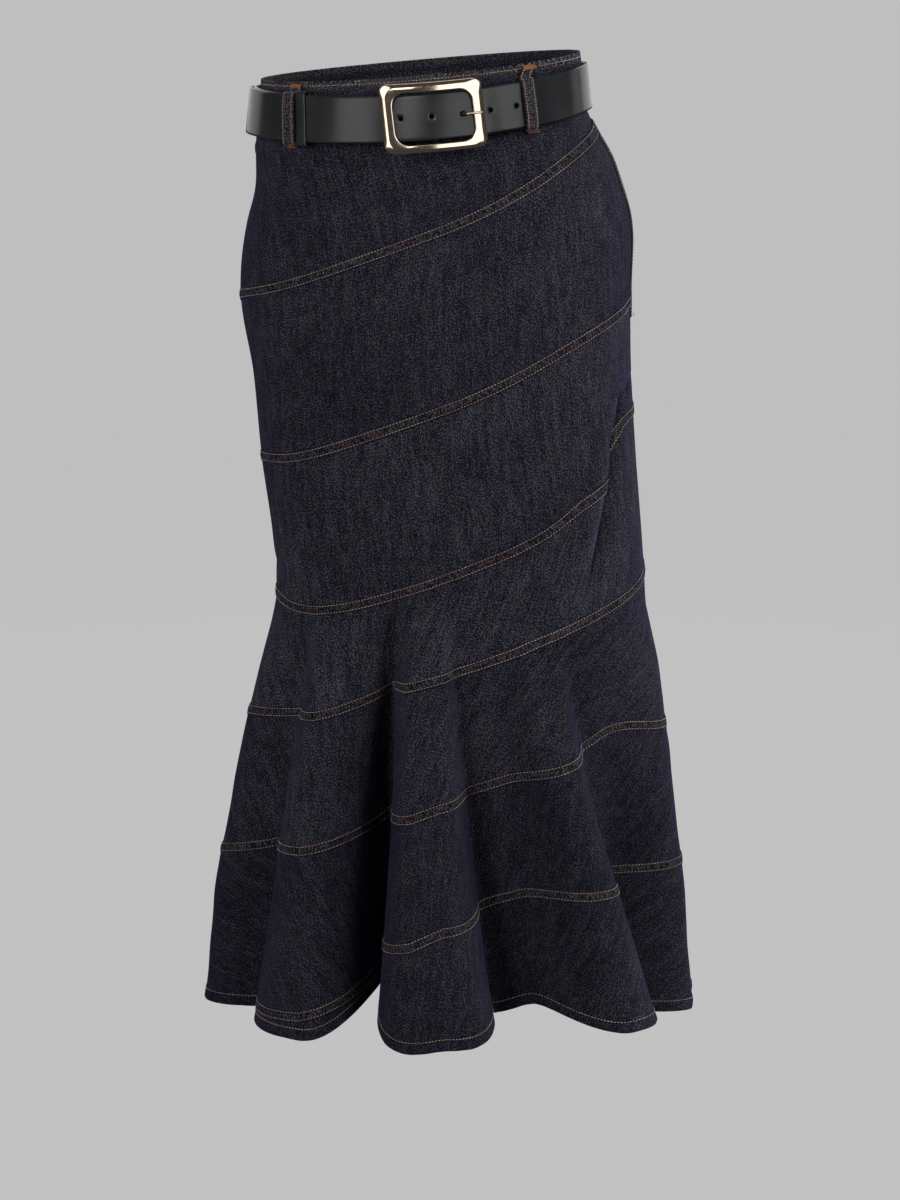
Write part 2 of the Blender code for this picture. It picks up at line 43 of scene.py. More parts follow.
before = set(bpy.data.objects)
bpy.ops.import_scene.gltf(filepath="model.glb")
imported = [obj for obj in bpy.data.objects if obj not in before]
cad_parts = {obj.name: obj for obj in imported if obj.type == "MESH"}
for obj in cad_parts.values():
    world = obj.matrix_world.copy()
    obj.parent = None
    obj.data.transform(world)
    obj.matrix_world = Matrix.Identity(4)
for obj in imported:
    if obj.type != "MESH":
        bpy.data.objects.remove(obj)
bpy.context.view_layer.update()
MM = 0.001

# ---------------------------------------------------------------- cloth tables
CLOTH_THICK = 1.4
BAND_THICK = 2.6
BAND_DEPTH = 45
SEAM_GAP = 0.4
SIDE_GAP_TURNS = 0.005
HEM_LEVEL = 866
FLARE_LEVEL = 480
FLARE_POWER = 0.85
SQUARENESS = 0.02
WAIST_TILT = math.radians(4.9)
WAIST_TILT_END = 272
WAIST_DIP = 4.5
LEFT_SIDE_TURN = 10

SECTION_COLUMNS = ("level", "half_width", "front", "back", "centre_x")
SECTIONS = (
    (0, 142, 98, 98, 0),        # waist edge
    (60, 148, 103, 103, 1),     # under the belt
    (98, 158, 108, 110, 10),
    (132, 169, 113, 116, 13),   # high hip
    (202, 175, 116, 128, 13),   # hip
    (272, 171, 112, 126, 19),   # seat
    (352, 170, 106, 114, 25),   # thigh
    (432, 168, 101, 106, 33),   # above the knee
    (487, 169, 99, 104, 35),    # knee, where the flare starts
    (552, 178, 108, 114, 33),
    (652, 190, 122, 130, 29),
    (772, 198, 134, 142, 26),
    (872, 202, 140, 150, 25),   # hem
)

# Angles from the front, growing to +X.  Reach and overhang are at the hem: the reach is outwards,
# and the overhang slides the flank that follows the fold along the skirt.  Above 1, the hold keeps
# that flank near the fold's own reach before it turns to the next one's.
FOLD_COLUMNS = ("top_angle", "hem_angle", "reach", "overhang", "hem_rise", "start", "hold")
FOLDS = (
    (-90, -88, 28, 6, 2, 482, 1.0),
    (-55, -65, -52, -31, 3, 482, 1.0),
    (-42, -34, 38, 6, 10, 482, 1.3),
    (-18.2, -18, -92, -19, 46, 478, 0.7),
    (-12, -7.5, 37, 0, 4, 482, 1.0),
    (-6, 0.5, 38, 17, 8, 482, 1.2),
    (-2, 12, -40, 0, 17, 490, 1.0),
    (8, 24, -30, -6, 27, 500, 1.0),
    (20, 45, 36, 28, 10, 505, 1.3),
    (32, 62, -66, -8, 0, 500, 1.5),
    (90, 88, 28, 8, -8, 490, 1.0),
    (108, 108, -30, -10, 10, 482, 1.0),
    (128, 126, 34, 12, 0, 482, 1.3),
    (148, 146, -32, -10, 16, 482, 1.0),
    (170, 168, 36, 12, 0, 482, 1.2),
    (192, 190, -34, -10, 12, 482, 1.0),
    (214, 214, 34, 12, 0, 482, 1.4),
    (240, 240, -30, -8, 8, 482, 1.0),
)

# Soft places pressed in (or out, where the depth is negative) by the body and by hanging: angle,
# level, lean, half length, half width, depth and slide
CREASES = (
    (88, 82, 0, 32, 62, -6, 0),         # the left hip swells out under the belt
    (88, 140, 0, 46, 62, -3, 0),
    (92, 540, 0, 90, 50, -3, 0),
    (-19, 590, 0, 90, 11, 12, -4),      # creases that run up out of the flutes
    (-14, 512, 14, 34, 8, 4, -2),
    (-52, 545, 8, 48, 11, 3, 0),
    (26, 560, 10, 48, 12, 3, 0),
    (118, 560, -6, 50, 14, 4, 0),
    (160, 540, 5, 44, 13, 3, 0),
    (205, 555, -4, 50, 14, 4, 0),
    (250, 540, 3, 46, 13, 3, 0),
    (-82, 455, 62, 38, 10, 3, 0),       # small folds at the right side of the knee
    (-30, 300, 74, 60, 16, 1.2, 0),
    (20, 330, -70, 70, 18, 1.2, 0),
    (180, 290, 80, 80, 16, 2.5, 0),     # under the seat
    (150, 330, 72, 60, 14, -2.0, 0),
    (215, 340, -70, 60, 14, 2.0, 0),
)

# The front cloth folds in at the left thigh: level, angle of the fold's edge, depth behind it
SIDE_FOLD = ((272, 83, 0), (282, 73, 5), (292, 60, 10), (326, 50.5, 15), (362, 47.5, 15),
             (397, 43, 12), (440, 39, 6), (480, 37, 0))

# Levels of the spiral seams on the front at 90, 45, 0, -45 and -90 degrees.  Behind, each seam
# drops on from its right end to the left end of the seam two rows further down.
SEAMS = (
    ("A", 58, 84, 132, 177, 197),
    ("B", 202, 231, 289, 334, 347),
    ("C", 302, 366, 437, 476, 471),
    ("D", 450, 480, 525, 570, 584),
    ("E", 595, 592, 634, 688, 716),
    ("F", 726, 728, 740, 836, 893),
)
SEAM_ORDER = "SABCDEF"
# More of them, behind the side fold and in the deep valleys of the flare
EXTRA_SEAM_LEVELS = (("C", 62, 318), ("E", 31, 603), ("E", -25, 671), ("F", -14, 769),
                     ("F", -26, 811))
START_SEAM_LEVEL = 58
LAST_SEAM_LEVEL = 850

# Node, upper edge, lower edge, first turn, last turn, lean of the grain in degrees, tone, and the
# flat cut: its width and length in metres and its area in square metres
PANELS = (
    ("front_panel_1", "band", "A", 0, 10, 3, 1.15, (0.44, 0.16, 0.037)),
    ("front_panel_2", "A", "B", 0, 10, -2, 1.30, (0.50, 0.17, 0.074)),
    ("front_panel_3", "B", "C", 0, 10, 2, 1.60, (0.50, 0.16, 0.067)),
    ("front_panel_4", "C", "D", 0, 10, -24, 1.65, (0.54, 0.17, 0.052)),
    ("front_panel_5", "D", "E", 0, 10, -20, 1.25, (0.62, 0.25, 0.073)),
    ("front_panel_6", "E", "F", 0, 10, 10, 0.95, (0.79, 0.31, 0.105)),
    ("front_panel_7", "F", "hem", 1, 10, -12, 1.05, (0.85, 0.29, 0.076)),
    ("back_panel_1", "band", "S", 10, 18, -3, 1.00, (0.45, 0.17, 0.041)),
    ("back_panel_2", "S", "A", 10, 18, 2, 1.03, (0.51, 0.14, 0.057)),
    ("back_panel_3", "A", "B", 10, 18, -2, 1.00, (0.50, 0.16, 0.071)),
    ("back_panel_4", "B", "C", 10, 18, 18, 0.95, (0.50, 0.17, 0.066)),
    ("back_panel_5", "C", "D", 10, 18, -26, 0.97, (0.61, 0.19, 0.072)),
    ("back_panel_6", "D", "E", 10, 18, 30, 0.93, (0.74, 0.21, 0.086)),
    ("back_panel_7", "E", "hem", 10, 18, -15, 1.01, (0.81, 0.20, 0.062)),
)

# Felled seam: distances down from its upper stitch row, and heights off the cloth
LAP_SECTION = ((-1.6, -0.2), (-1.4, 0.5), (-0.8, 0.8), (0.0, 0.62), (1.0, 0.85), (3.4, 0.9),
               (5.8, 0.85), (6.75, 0.62), (7.7, 0.8), (8.3, 0.5), (8.5, -0.2))
LAP_INSIDE = 0.8                # how far it stands out inside the skirt
LAP_MIDDLE = 3.4
LAP_STEP = 1.8                  # along the seam, from ring to ring
STITCH_ROWS = (0.0, 6.75)
STITCH = 2.05                   # length of one topstitch
HEM_TURNED = 12.0
HEM_THICK = 1.2                 # of the layer turned in
HEM_STITCH = 9.5                # above the hem
SIDE_SEAM_HALF = 11
BODY_RADIUS = 150               # for distances round the body
BAND_CELL = 2.5
EVEN_COLUMNS = 35               # of a panel's mesh, for its flat cut
LEAST_HEIGHT = 8                # of a panel's column, where its cut is worked out
CUT_SHIFT = (371.0, 173.0)      # between the places of two panels on the woven cloth

# ---------------------------------------------------------------- belt tables
BELT_WIDTH = 40
BELT_THICK = 3.2
BELT_HALF_WIDTH = 147.5
BELT_HALF_DEPTH = 106
BELT_CENTRE_X = 0.2
BELT_MIDDLE_Z = -27.5
BELT_TILT = math.radians(4.0)
BELT_DIP = 11
BELT_CONE = 2.0                 # how much further in the upper edge lies than the middle
BELT_LEAN = 0.11                # slide for each millimetre up, at the front
BELT_LAYER = 3.7                # from one layer's inner face to the next one's
BELT_START_ANGLE = -14          # at the buckle's rear bar
BELT_END_ANGLE = -466           # the tip, once round and on past the buckle
BELT_RISE_FROM = -332
BELT_RISE_TO = -344
HOLE_RADIUS = 2.0
HOLE_ANGLES = (31.9, 22.3, 12.9, 3.5, -5.8)
PRONG_HOLE = 2
MM_PER_BELT_DEGREE = 2.45       # about, for the count of the strap's columns
# Round edge of the strap: heights from its middle, and distances off its inner face
STRAP_EDGE = ((19.2, 3.1), (19.8, 2.5), (20.0, 1.6), (19.8, 0.7), (19.2, 0.1))

BUCKLE_ANGLE = 4.1
BUCKLE_WIDTH = 90
BUCKLE_HEIGHT = 60
BUCKLE_CORNER = 8
BUCKLE_THICK = 3.6
BUCKLE_STAND = 9.0              # of its back off the first layer's inner face
BUCKLE_UPRIGHT = 0.06           # outwards for each millimetre up
BUCKLE_TURN = 0.026             # inwards for each millimetre along
WINDOW_WIDTH = 68.7
WINDOW_HEIGHT = 44.9
WINDOW_CORNER = 12
WINDOW_SHIFT_X = 0.35
WINDOW_SHIFT_Z = -0.75
BAR_RADIUS = 1.5
BAR_INSET = 5.5
PRONG_RADIUS = 1.25
# Section of the frame: share of the way from the window to the rim, and share of its thickness
FRAME_SECTION = ((0.03, 0.30), (0.0, 0.62), (0.01, 0.84), (0.04, 0.95), (0.08, 0.99),
                 (0.11, 1.0), (0.35, 1.0), (0.53, 1.0), (0.57, 0.985), (0.91, 0.74),
                 (0.955, 0.68), (0.985, 0.56), (1.0, 0.40), (0.98, 0.22), (0.93, 0.06),
                 (0.80, 0.0), (0.50, 0.0), (0.12, 0.0))

KEEPER_ANGLE = -40.4
KEEPER_WIDTH = 10.5
KEEPER_THICK = 1.6
KEEPER_CORNER = 3.0
# Section of the keeper: shares of its width from its middle, and of its thickness inwards
KEEPER_SECTION = ((-0.5, 0.85), (-0.44, 1.0), (0.44, 1.0), (0.5, 0.85), (0.5, 0.15),
                  (0.44, 0.0), (-0.44, 0.0), (-0.5, 0.15))

LOOP_WIDTH = 11.0
LOOP_THICK = 1.8
LOOP_TOP = 1.0
LOOP_BOTTOM = 58
LOOP_ROWS = 72
LOOP_COLUMNS = 9
LOOP_TACKS = ((2, 4.0), (67, 1.4), (70, 1.4))       # row of the loop, height of the bartack
# Node, belt angle, cloth angle, lift off the belt's inner face, clearance above and below it
LOOPS = (
    ("belt_loop_front_right", -44.6, -46.2, 9.6, 1.6),
    ("belt_loop_front_left", 36.7, 39, 3.7, 1.6),
    ("belt_loop_back_left", 118, 118, 3.7, 1.6),
    ("belt_loop_back_centre", 180, 180, 3.7, 1.6),
    ("belt_loop_back_right", 242, 242, 3.7, 1.6),
)

ZIP_TOP = 4
ZIP_LENGTH = 225
ZIP_TAPE_WIDTH = 24
ZIP_TAPE_THICK = 1.0
TAPE_HEIGHT = -BAND_THICK - 2.0
TOOTH_PITCH = 1.5
TOOTH_RINGS = ((-1.7, 0.25), (-1.2, 0.5), (1.2, 0.5), (1.7, 0.25))     # place across, radius
PLACKET_WIDTH = 18
PLACKET_THICK = 1.2
PLACKET_HEIGHT = 1.35
PLACKET_TOP = 58

# ---------------------------------------------------------------- stage tables, in metres
FLOOR_RADIUS = 5.0
FLOOR_SIDES = 96
SWEEP_RADIUS = 2.0
WALL_LEVELS = (4.0, 6.0)
FLOOR_GLOW = 0.518              # light of the floor's and backdrop's own
AIR_LIGHT = 0.05
SENSOR_WIDTH = 36.0             # in millimetres, as Blender has it
CAMERA_PLACE = (0.026, -3.0, 0.15)
CAMERA_DIP = math.radians(11.96)
LAMP_TARGET_Z = -0.3
# Soft lamps round the skirt: azimuth from the front towards +X, height angle, distance, sides
# in metres, power in watts at full key, and what they light: the cloth, the shine or both
LAMPS = (
    ("left_key", -43, 15, 2.9, (1.2, 1.6), 47.0, "cloth"),
    ("right_side", 85, 15, 2.9, (1.0, 1.6), 24.0, "cloth"),
    ("right_low", 74, -28, 1.3, (0.5, 0.9), 3.6, "cloth"),
    ("right_rim", 112, 15, 2.9, (1.0, 1.6), 12.0, "cloth"),
    ("right_top", 54, 38, 2.6, (0.9, 0.9), 32.0, "cloth"),
    ("left_window", -26.6, 13, 2.9, (0.96, 2.1), 11.0, "shine"),
    ("middle_window", -5.8, 20, 2.9, (0.46, 0.9), 4.2, "shine"),
    ("right_window", 27.8, 13, 2.9, (2.1, 2.1), 22.8, "shine"),
    ("ceiling_window", 0, 72, 2.4, (1.8, 0.7), 5.0, "shine"),
    ("back_left", -148, 20, 2.9, (3.2, 1.9), 14.0, "both"),
    ("right_glow", 117, 18, 2.9, (0.9, 1.9), 2.4, "both"),
    ("back_fill", 180, 22, 2.9, (1.8, 1.6), 40.0, "cloth"),
    ("back_right", 152, 20, 2.9, (2.4, 1.9), 12.0, "both"),
)


# ---------------------------------------------------------------- settings
class DenimSettings(bpy.types.PropertyGroup):
    """Sizes and colours of the cloth and its stitching."""
    cell: FloatProperty(name="Cell", description="Side of a cell of the cloth's mesh",
                        default=0.0034, min=0.001, max=0.02, subtype="DISTANCE", unit="LENGTH")
    pucker: FloatProperty(name="Pucker", description="Height of the puckers along the seams",
                          default=0.00045, min=0.0, max=0.003, subtype="DISTANCE", unit="LENGTH")
    pitch: FloatProperty(name="Stitch pitch", description="From one topstitch to the next",
                         default=0.0031, min=0.001, max=0.01, subtype="DISTANCE", unit="LENGTH")
    thread: FloatProperty(name="Thread", description="Radius of the topstitching thread",
                          default=0.0003, min=0.0001, max=0.001, subtype="DISTANCE",
                          unit="LENGTH")
    warp: FloatVectorProperty(name="Warp", description="Colour of the dyed warp",
                              default=(0.0062, 0.0064, 0.0130), size=3, min=0.0, max=1.0,
                              subtype="COLOR")
    fleck: FloatVectorProperty(name="Fleck", description="Colour of the weft that shows through",
                               default=(0.108, 0.098, 0.134), size=3, min=0.0, max=1.0,
                               subtype="COLOR")
    tan: FloatVectorProperty(name="Topstitch", description="Colour of the topstitching thread",
                             default=(0.74, 0.59, 0.46), size=3, min=0.0, max=1.0,
                             subtype="COLOR")
    orange: FloatVectorProperty(name="Bartack", description="Colour of the bartack thread",
                                default=(0.36, 0.145, 0.034), size=3, min=0.0, max=1.0,
                                subtype="COLOR")


class BeltSettings(bpy.types.PropertyGroup):
    """Sizes and colours of the belt and its buckle."""
    cell: FloatProperty(name="Cell", description="Length of a cell of the strap's mesh",
                        default=0.0025, min=0.001, max=0.02, subtype="DISTANCE", unit="LENGTH")
    leather: FloatVectorProperty(name="Leather", description="Colour of the leather",
                                 default=(0.018, 0.019, 0.020), size=3, min=0.0, max=1.0,
                                 subtype="COLOR")
    gold: FloatVectorProperty(name="Gold", description="Colour of the plated buckle",
                              default=(0.90, 0.74, 0.56), size=3, min=0.0, max=1.0,
                              subtype="COLOR")
    brass: FloatVectorProperty(name="Brass", description="Colour of the zip's metal",
                               default=(0.60, 0.48, 0.30), size=3, min=0.0, max=1.0,
                               subtype="COLOR")


class StageSettings(bpy.types.PropertyGroup):
    """Floor, light and camera."""
    floor: FloatProperty(name="Floor", description="Height of the floor",
                         default=-1.15, min=-5.0, max=-0.9, subtype="DISTANCE", unit="LENGTH")
    shade: FloatProperty(name="Shade", description="Brightness of the floor and backdrop",
                         default=0.02, min=0.0, max=1.0, subtype="FACTOR")
    key: FloatProperty(name="Key", description="Share of their full power the lamps are run at",
                       default=1.0, min=0.0, max=10.0, subtype="FACTOR", unit="NONE")
    lens: FloatProperty(name="Lens", description="Focal length of the camera", default=0.10014,
                        min=0.02, max=0.3, subtype="DISTANCE_CAMERA", unit="CAMERA")


# ---------------------------------------------------------------- curves and grids
def column(headings, rows, name):
    """One named column of a table as an array."""
    place = headings.index(name)
    return np.array([row[place] for row in rows], float)


def smooth(places, values, place):
    """Cubic curve through a table's values, with each slope taken from the neighbouring rows."""
    slopes = np.gradient(values, places)
    place = np.clip(place, places[0], places[-1])
    low = np.clip(np.searchsorted(places, place, side="right") - 1, 0, len(places) - 2)
    step = places[low + 1] - places[low]
    t = (place - places[low]) / step
    ease = t * t * (3 - 2 * t)
    lift = t * (1 - t) ** 2 * step * slopes[low] - t * t * (1 - t) * step * slopes[low + 1]
    return values[low] * (1 - ease) + values[low + 1] * ease + lift


def unit(vectors):
    """The vectors at length one."""
    return vectors / np.maximum(np.linalg.norm(vectors, axis=-1, keepdims=True), 1e-9)


def run_of(line):
    """Length run from a line's first point to each of its points, along the last but one axis."""
    steps = np.linalg.norm(np.diff(line, axis=-2), axis=-1)
    return np.concatenate([np.zeros(steps.shape[:-1] + (1,)), np.cumsum(steps, axis=-1)], axis=-1)


def at_run(where, run, line):
    """Points of a line at some lengths run, straight from each given point to the next."""
    return np.stack([np.interp(where, run, line[:, axis]) for axis in range(3)], axis=-1)


def eased_line(knots, count):
    """A smooth line through knots, at even steps of its length: each coordinate is the cubic
    curve of smooth() over the length run."""
    run = run_of(knots)
    fine = np.linspace(0, run[-1], 40 * len(knots))
    line = np.stack([smooth(run, knots[:, axis], fine) for axis in range(3)], axis=-1)
    length = run_of(line)
    return at_run(np.linspace(0, length[-1], count), length, line)


def evened(values, count):
    """A line of values with each taken as the mean of an odd number round it, the ends held."""
    kept = np.pad(values, count // 2, mode="edge")
    return np.convolve(kept, np.full(count, 1 / count), "valid")


def unevenness(points, size, seed):
    """Smooth random values from -1 to 1: fixed random numbers at the corners of cubes of a size,
    blended by an eased weight between a cube's eight corners."""
    cubes = 32
    table = np.random.default_rng(seed).uniform(-1, 1, (cubes, cubes, cubes))
    place = points / size
    low = np.floor(place).astype(int)
    part = place - low
    part = part * part * (3 - 2 * part)
    total = np.zeros(points.shape[:-1])
    for corner in np.ndindex(2, 2, 2):
        weight = np.prod(np.where(corner, part, 1 - part), axis=-1)
        cell = np.mod(low + corner, cubes)
        total += weight * table[cell[..., 0], cell[..., 1], cell[..., 2]]
    return total


def skin_faces(ring, length, around=False):
    """Quads of a tube: a closed ring of points carried along a length, which closes on itself or
    is closed at both ends by quads from each point to its opposite."""
    first = np.arange(ring)[:, None]
    along = np.arange(length if around else length - 1)[None, :]
    after, ahead = (first + 1) % ring, (along + 1) % length
    sides = np.stack([first * length + along, after * length + along,
                      after * length + ahead, first * length + ahead], axis=-1).reshape(-1, 4)
    if around:
        return sides
    k = np.arange(ring // 2 - 1)
    cap = np.stack([k, ring - 1 - k, ring - 2 - k, k + 1], axis=-1)
    return np.concatenate([sides, cap * length, cap[:, ::-1] * length + length - 1])


def many(faces, points_each, count):
    """The same faces for several copies of a mesh, whose points follow one another."""
    return (faces[None] + np.arange(count)[:, None, None] * points_each).reshape(-1, 4)


def normals(points):
    """Outward normals of a grid whose rows go down and whose columns go round by the front."""
    return unit(np.cross(np.gradient(points, axis=0), np.gradient(points, axis=1)))


def wall(outer, thick, edge=0.5):
    """Rings of a wall: the outer grid, its rounded lower edge, the same grid moved inwards along
    its normals by the thickness, from its last row up, and the rounded upper edge."""
    inward = normals(outer) * -1
    thick = np.broadcast_to(np.asarray(thick, float), outer.shape[:2])[..., None]
    inner = outer + inward * thick
    rims = []
    for row, other in ((0, 1), (-1, -2)):
        out_of = unit(outer[row] - outer[other]) * thick[row] * edge
        rims.append((outer[row] + out_of * 0.7 + inward[row] * thick[row] * 0.2,
                     outer[row] + out_of * 0.7 + inward[row] * thick[row] * 0.8))
    return np.concatenate([rims[0][0][None], outer, rims[1][0][None], rims[1][1][None],
                           inner[::-1], rims[0][1][None]])


def wall_values(values):
    """Values of the outer grid's points given to the rings of its wall."""
    return np.concatenate([values[:1], values, values[-1:], values[-1:], values[::-1],
                           values[:1]])


def add_piece(name, points, faces, material, slot, replaces=(), weave=None, values=None):
    """A mesh object from points in millimetres and quads.  It may carry its points' places on the
    flat cloth and named values of them, and the frame solids it replaces are hidden."""
    points = np.asarray(points, float).reshape(-1, 3)
    mesh = bpy.data.meshes.new(name)
    mesh.vertices.add(len(points))
    mesh.vertices.foreach_set("co", (points * MM).astype(np.float32).ravel())
    mesh.loops.add(faces.size)
    mesh.loops.foreach_set("vertex_index", faces.astype(np.int32).ravel())
    mesh.polygons.add(len(faces))
    mesh.polygons.foreach_set("loop_start", np.arange(0, faces.size, 4, dtype=np.int32))
    mesh.update(calc_edges=True)
    if weave is not None:
        layer = mesh.uv_layers.new(name="weave")
        corners = weave.reshape(-1, 2)[faces.ravel()] * MM
        layer.uv.foreach_set("vector", corners.astype(np.float32).ravel())
    for key, value in (values or {}).items():
        layer = mesh.attributes.new(key, "FLOAT", "POINT")
        value = np.asarray(value, np.float32).reshape(-1)
        layer.data.foreach_set("value", np.broadcast_to(value, len(points)).copy())
    mesh.shade_smooth()
    mesh.materials.append(material)
    piece = bpy.data.objects.new(name, mesh)
    bpy.context.scene.collection.objects.link(piece)
    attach(piece, "root")
    if replaces:
        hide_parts(*replaces)
    return piece


def add_tube(name, rings, material, slot, replaces=(), weave=None, values=None, around=False):
    """A piece from a closed ring of points that is carried along a length or around."""
    return add_piece(name, rings, skin_faces(*rings.shape[:2], around=around), material, slot,
                     replaces, weave, values)


def add_wall(name, outer, thick, material, slot, replaces=(), weave=None, values=None):
    """A piece that is a wall on an outer grid.  The weave has a place for each of the grid's
    points, and the values have one for each of the wall's."""
    return add_tube(name, wall(outer, thick), material, slot, replaces,
                    None if weave is None else wall_values(weave), values)


# ---------------------------------------------------------------- the cloth's form
def fold_span(turn):
    """The fold before a turn, the fold after it, and how far the turn is from one to the other."""
    turn = np.mod(turn, len(FOLDS))
    first = np.minimum(np.floor(turn).astype(int), len(FOLDS) - 1)
    return first, (first + 1) % len(FOLDS), turn - first


def between_folds(turn, name):
    """A column of the fold table, carried from fold to fold by half a cosine wave of the way
    between them, to the power of the first one's hold."""
    before, after, part = fold_span(turn)
    hold = column(FOLD_COLUMNS, FOLDS, "hold")[before]
    weight = 0.5 + 0.5 * np.cos(math.pi * part ** hold)
    values = column(FOLD_COLUMNS, FOLDS, name)
    return values[before] * weight + values[after] * (1 - weight)


def fold_angles(name):
    """Angles of the folds in degrees, and of the first fold once more after a full circle."""
    angles = column(FOLD_COLUMNS, FOLDS, name)
    return np.append(angles, angles[0] + 360)


def fold_angle(turn, name):
    """Angle of a turn in degrees, from the table's column for the flare's top or for the hem."""
    angles = fold_angles(name)
    before, _, part = fold_span(turn)
    return angles[before] + (angles[before + 1] - angles[before]) * part


def section_size(name, level):
    """A size of the section at some levels, from a column of the section table."""
    levels = column(SECTION_COLUMNS, SECTIONS, "level")
    return smooth(levels, column(SECTION_COLUMNS, SECTIONS, name), level)


def squared_ellipse(angle, half_width, half_depth, out, slide=0.0):
    """A ring's points at an angle in radians, moved out along its normal and slid along it."""
    sine, cosine = np.sin(angle), np.cos(angle)
    x = half_width * ((1 + SQUARENESS) * sine + SQUARENESS * np.sin(3 * angle))
    y = -half_depth * ((1 + SQUARENESS) * cosine - SQUARENESS * np.cos(3 * angle))
    length = np.hypot(half_depth * sine, half_width * cosine)
    normal_x, normal_y = half_depth * sine / length, -half_width * cosine / length
    return x + out * normal_x - slide * normal_y, y + out * normal_y + slide * normal_x


def turn_at(angle):
    """The turn that lies at an angle above the flare."""
    angles = fold_angles("top_angle")
    return np.interp(np.mod(np.asarray(angle, float) + 90, 360) - 90, angles,
                     np.arange(len(angles), dtype=float))


def spiral_levels(first):
    """One of the two spirals: degrees wound from the first side seam, and the level there."""
    wound, levels = [], []
    if first == 1:
        wound.append(180.0)
        levels.append(START_SEAM_LEVEL)
    for number, row in enumerate(SEAMS[first::2]):
        for place, level in enumerate(row[1:]):
            wound.append(360.0 * (number + first) + 45.0 * place)
            levels.append(level)
    if first == 0:
        wound.append(1080.0)
        levels.append(LAST_SEAM_LEVEL)
    for name, angle, level in EXTRA_SEAM_LEVELS:
        number = SEAM_ORDER.index(name) - 1
        if number % 2 == first:
            wound.append(360.0 * ((number + first) // 2) + 90 - angle)
            levels.append(level)
    order = np.argsort(wound)
    return np.array(wound)[order], np.array(levels, float)[order]


def seam_level(name, turn):
    """Level of a spiral seam at a turn."""
    number = SEAM_ORDER.index(name) - 1
    first = number % 2
    start = np.where(turn <= LEFT_SIDE_TURN, 90.0, 450.0)
    wound, levels = spiral_levels(first)
    wound_here = start - fold_angle(turn, "top_angle") + 360.0 * ((number + first) // 2)
    return smooth(wound, levels, wound_here)


def hem_level(turn):
    """Level of the hem at a turn."""
    return HEM_LEVEL - between_folds(turn, "hem_rise")


def edge_level(name, turn):
    """Level of a panel's edge: the waistband's lower edge, the hem, or a seam above the hem."""
    if name == "band":
        return np.full_like(turn, BAND_DEPTH)
    if name == "hem":
        return hem_level(turn)
    return np.minimum(seam_level(name, turn), hem_level(turn))


def round_body(angle, middle):
    """Millimetres round the body from a middle in degrees to an angle in radians."""
    return np.radians(np.mod(np.degrees(angle) - middle + 180, 360) - 180) * BODY_RADIUS


def side_fold(angle, level):
    """Millimetres past the edge of the side fold, and how deep the cloth lies behind it."""
    levels, angles, depths = np.array(SIDE_FOLD).T
    return round_body(angle, np.interp(level, levels, angles)), np.interp(level, levels, depths)


def relief(turn, level, angle, pucker):
    """How far the cloth stands out from its plain form, and how far it is slid along it.

    Each crease is a bell curve across its width and along its length.  Slow unevenness is added,
    and puckers that die away on both sides of each felled seam and above the hem."""
    out, slide = np.zeros(turn.shape), np.zeros(turn.shape)
    for middle, height, lean, half_length, half_width, depth, sideways in CREASES:
        arc, down = round_body(angle, middle), level - height
        lean = math.radians(lean)
        along = arc * math.sin(lean) + down * math.cos(lean)
        across = arc * math.cos(lean) - down * math.sin(lean)
        press = np.exp(-(along / half_length) ** 2 - (across / half_width) ** 2)
        out -= depth * press
        slide += sideways * press
    # the side fold eases in over 18 millimetres, and the cloth comes back out past it
    away, depth = side_fold(angle, level)
    step = np.clip((away + 12) / 18, 0, 1)
    out -= depth * step * step * (3 - 2 * step) * np.exp(-(np.clip(away, 0, None) / 22) ** 2)
    slide += 1.6 * depth * np.exp(-(away / 10) ** 2)
    drum = np.stack([BODY_RADIUS * np.sin(angle), BODY_RADIUS * np.cos(angle), level], axis=-1)
    flared = np.clip((level - FLARE_LEVEL) / 200, 0, 1)
    out += (0.5 + 1.6 * flared) * unevenness(drum * (1, 1, 0.55), 46, 3)
    out += (0.2 + 0.5 * flared) * unevenness(drum * (1, 1, 0.7), 19, 4)
    # puckers: their chance changes quickly along a seam and hardly across it
    for first in (0, 1):
        wound, levels = spiral_levels(first)
        for winding in range(4):
            here = 90 - np.degrees(angle) + 360 * winding
            inside = (here >= wound[0]) & (here <= wound[-1])
            if not inside.any():
                continue
            away = level - smooth(wound, levels, here) - LAP_MIDDLE
            fade = np.where(inside, np.exp(-(away / 11) ** 2), 0.0)
            along = here * 2.8      # millimetres a degree, about
            track = np.stack([along, away * 0.12 + 50 * first, here * 0], axis=-1)
            out += pucker * fade * (unevenness(track, 7.5, 5) + 0.6 * unevenness(track, 4.2, 6))
    # the hem ropes at a slant, and stands out by the layer that is turned in
    above = hem_level(turn) - level
    near_hem = np.exp(-(np.clip(above, 0, None) / 12) ** 2)
    rope = np.stack([turn * 70 + above * 0.9, above * 0.2, turn * 0], axis=-1)
    out += near_hem * (1.5 * pucker * unevenness(rope, 7.0, 7))
    out += 0.45 * np.clip((HEM_TURNED - above) / 1.2, 0, 1)
    return out, slide


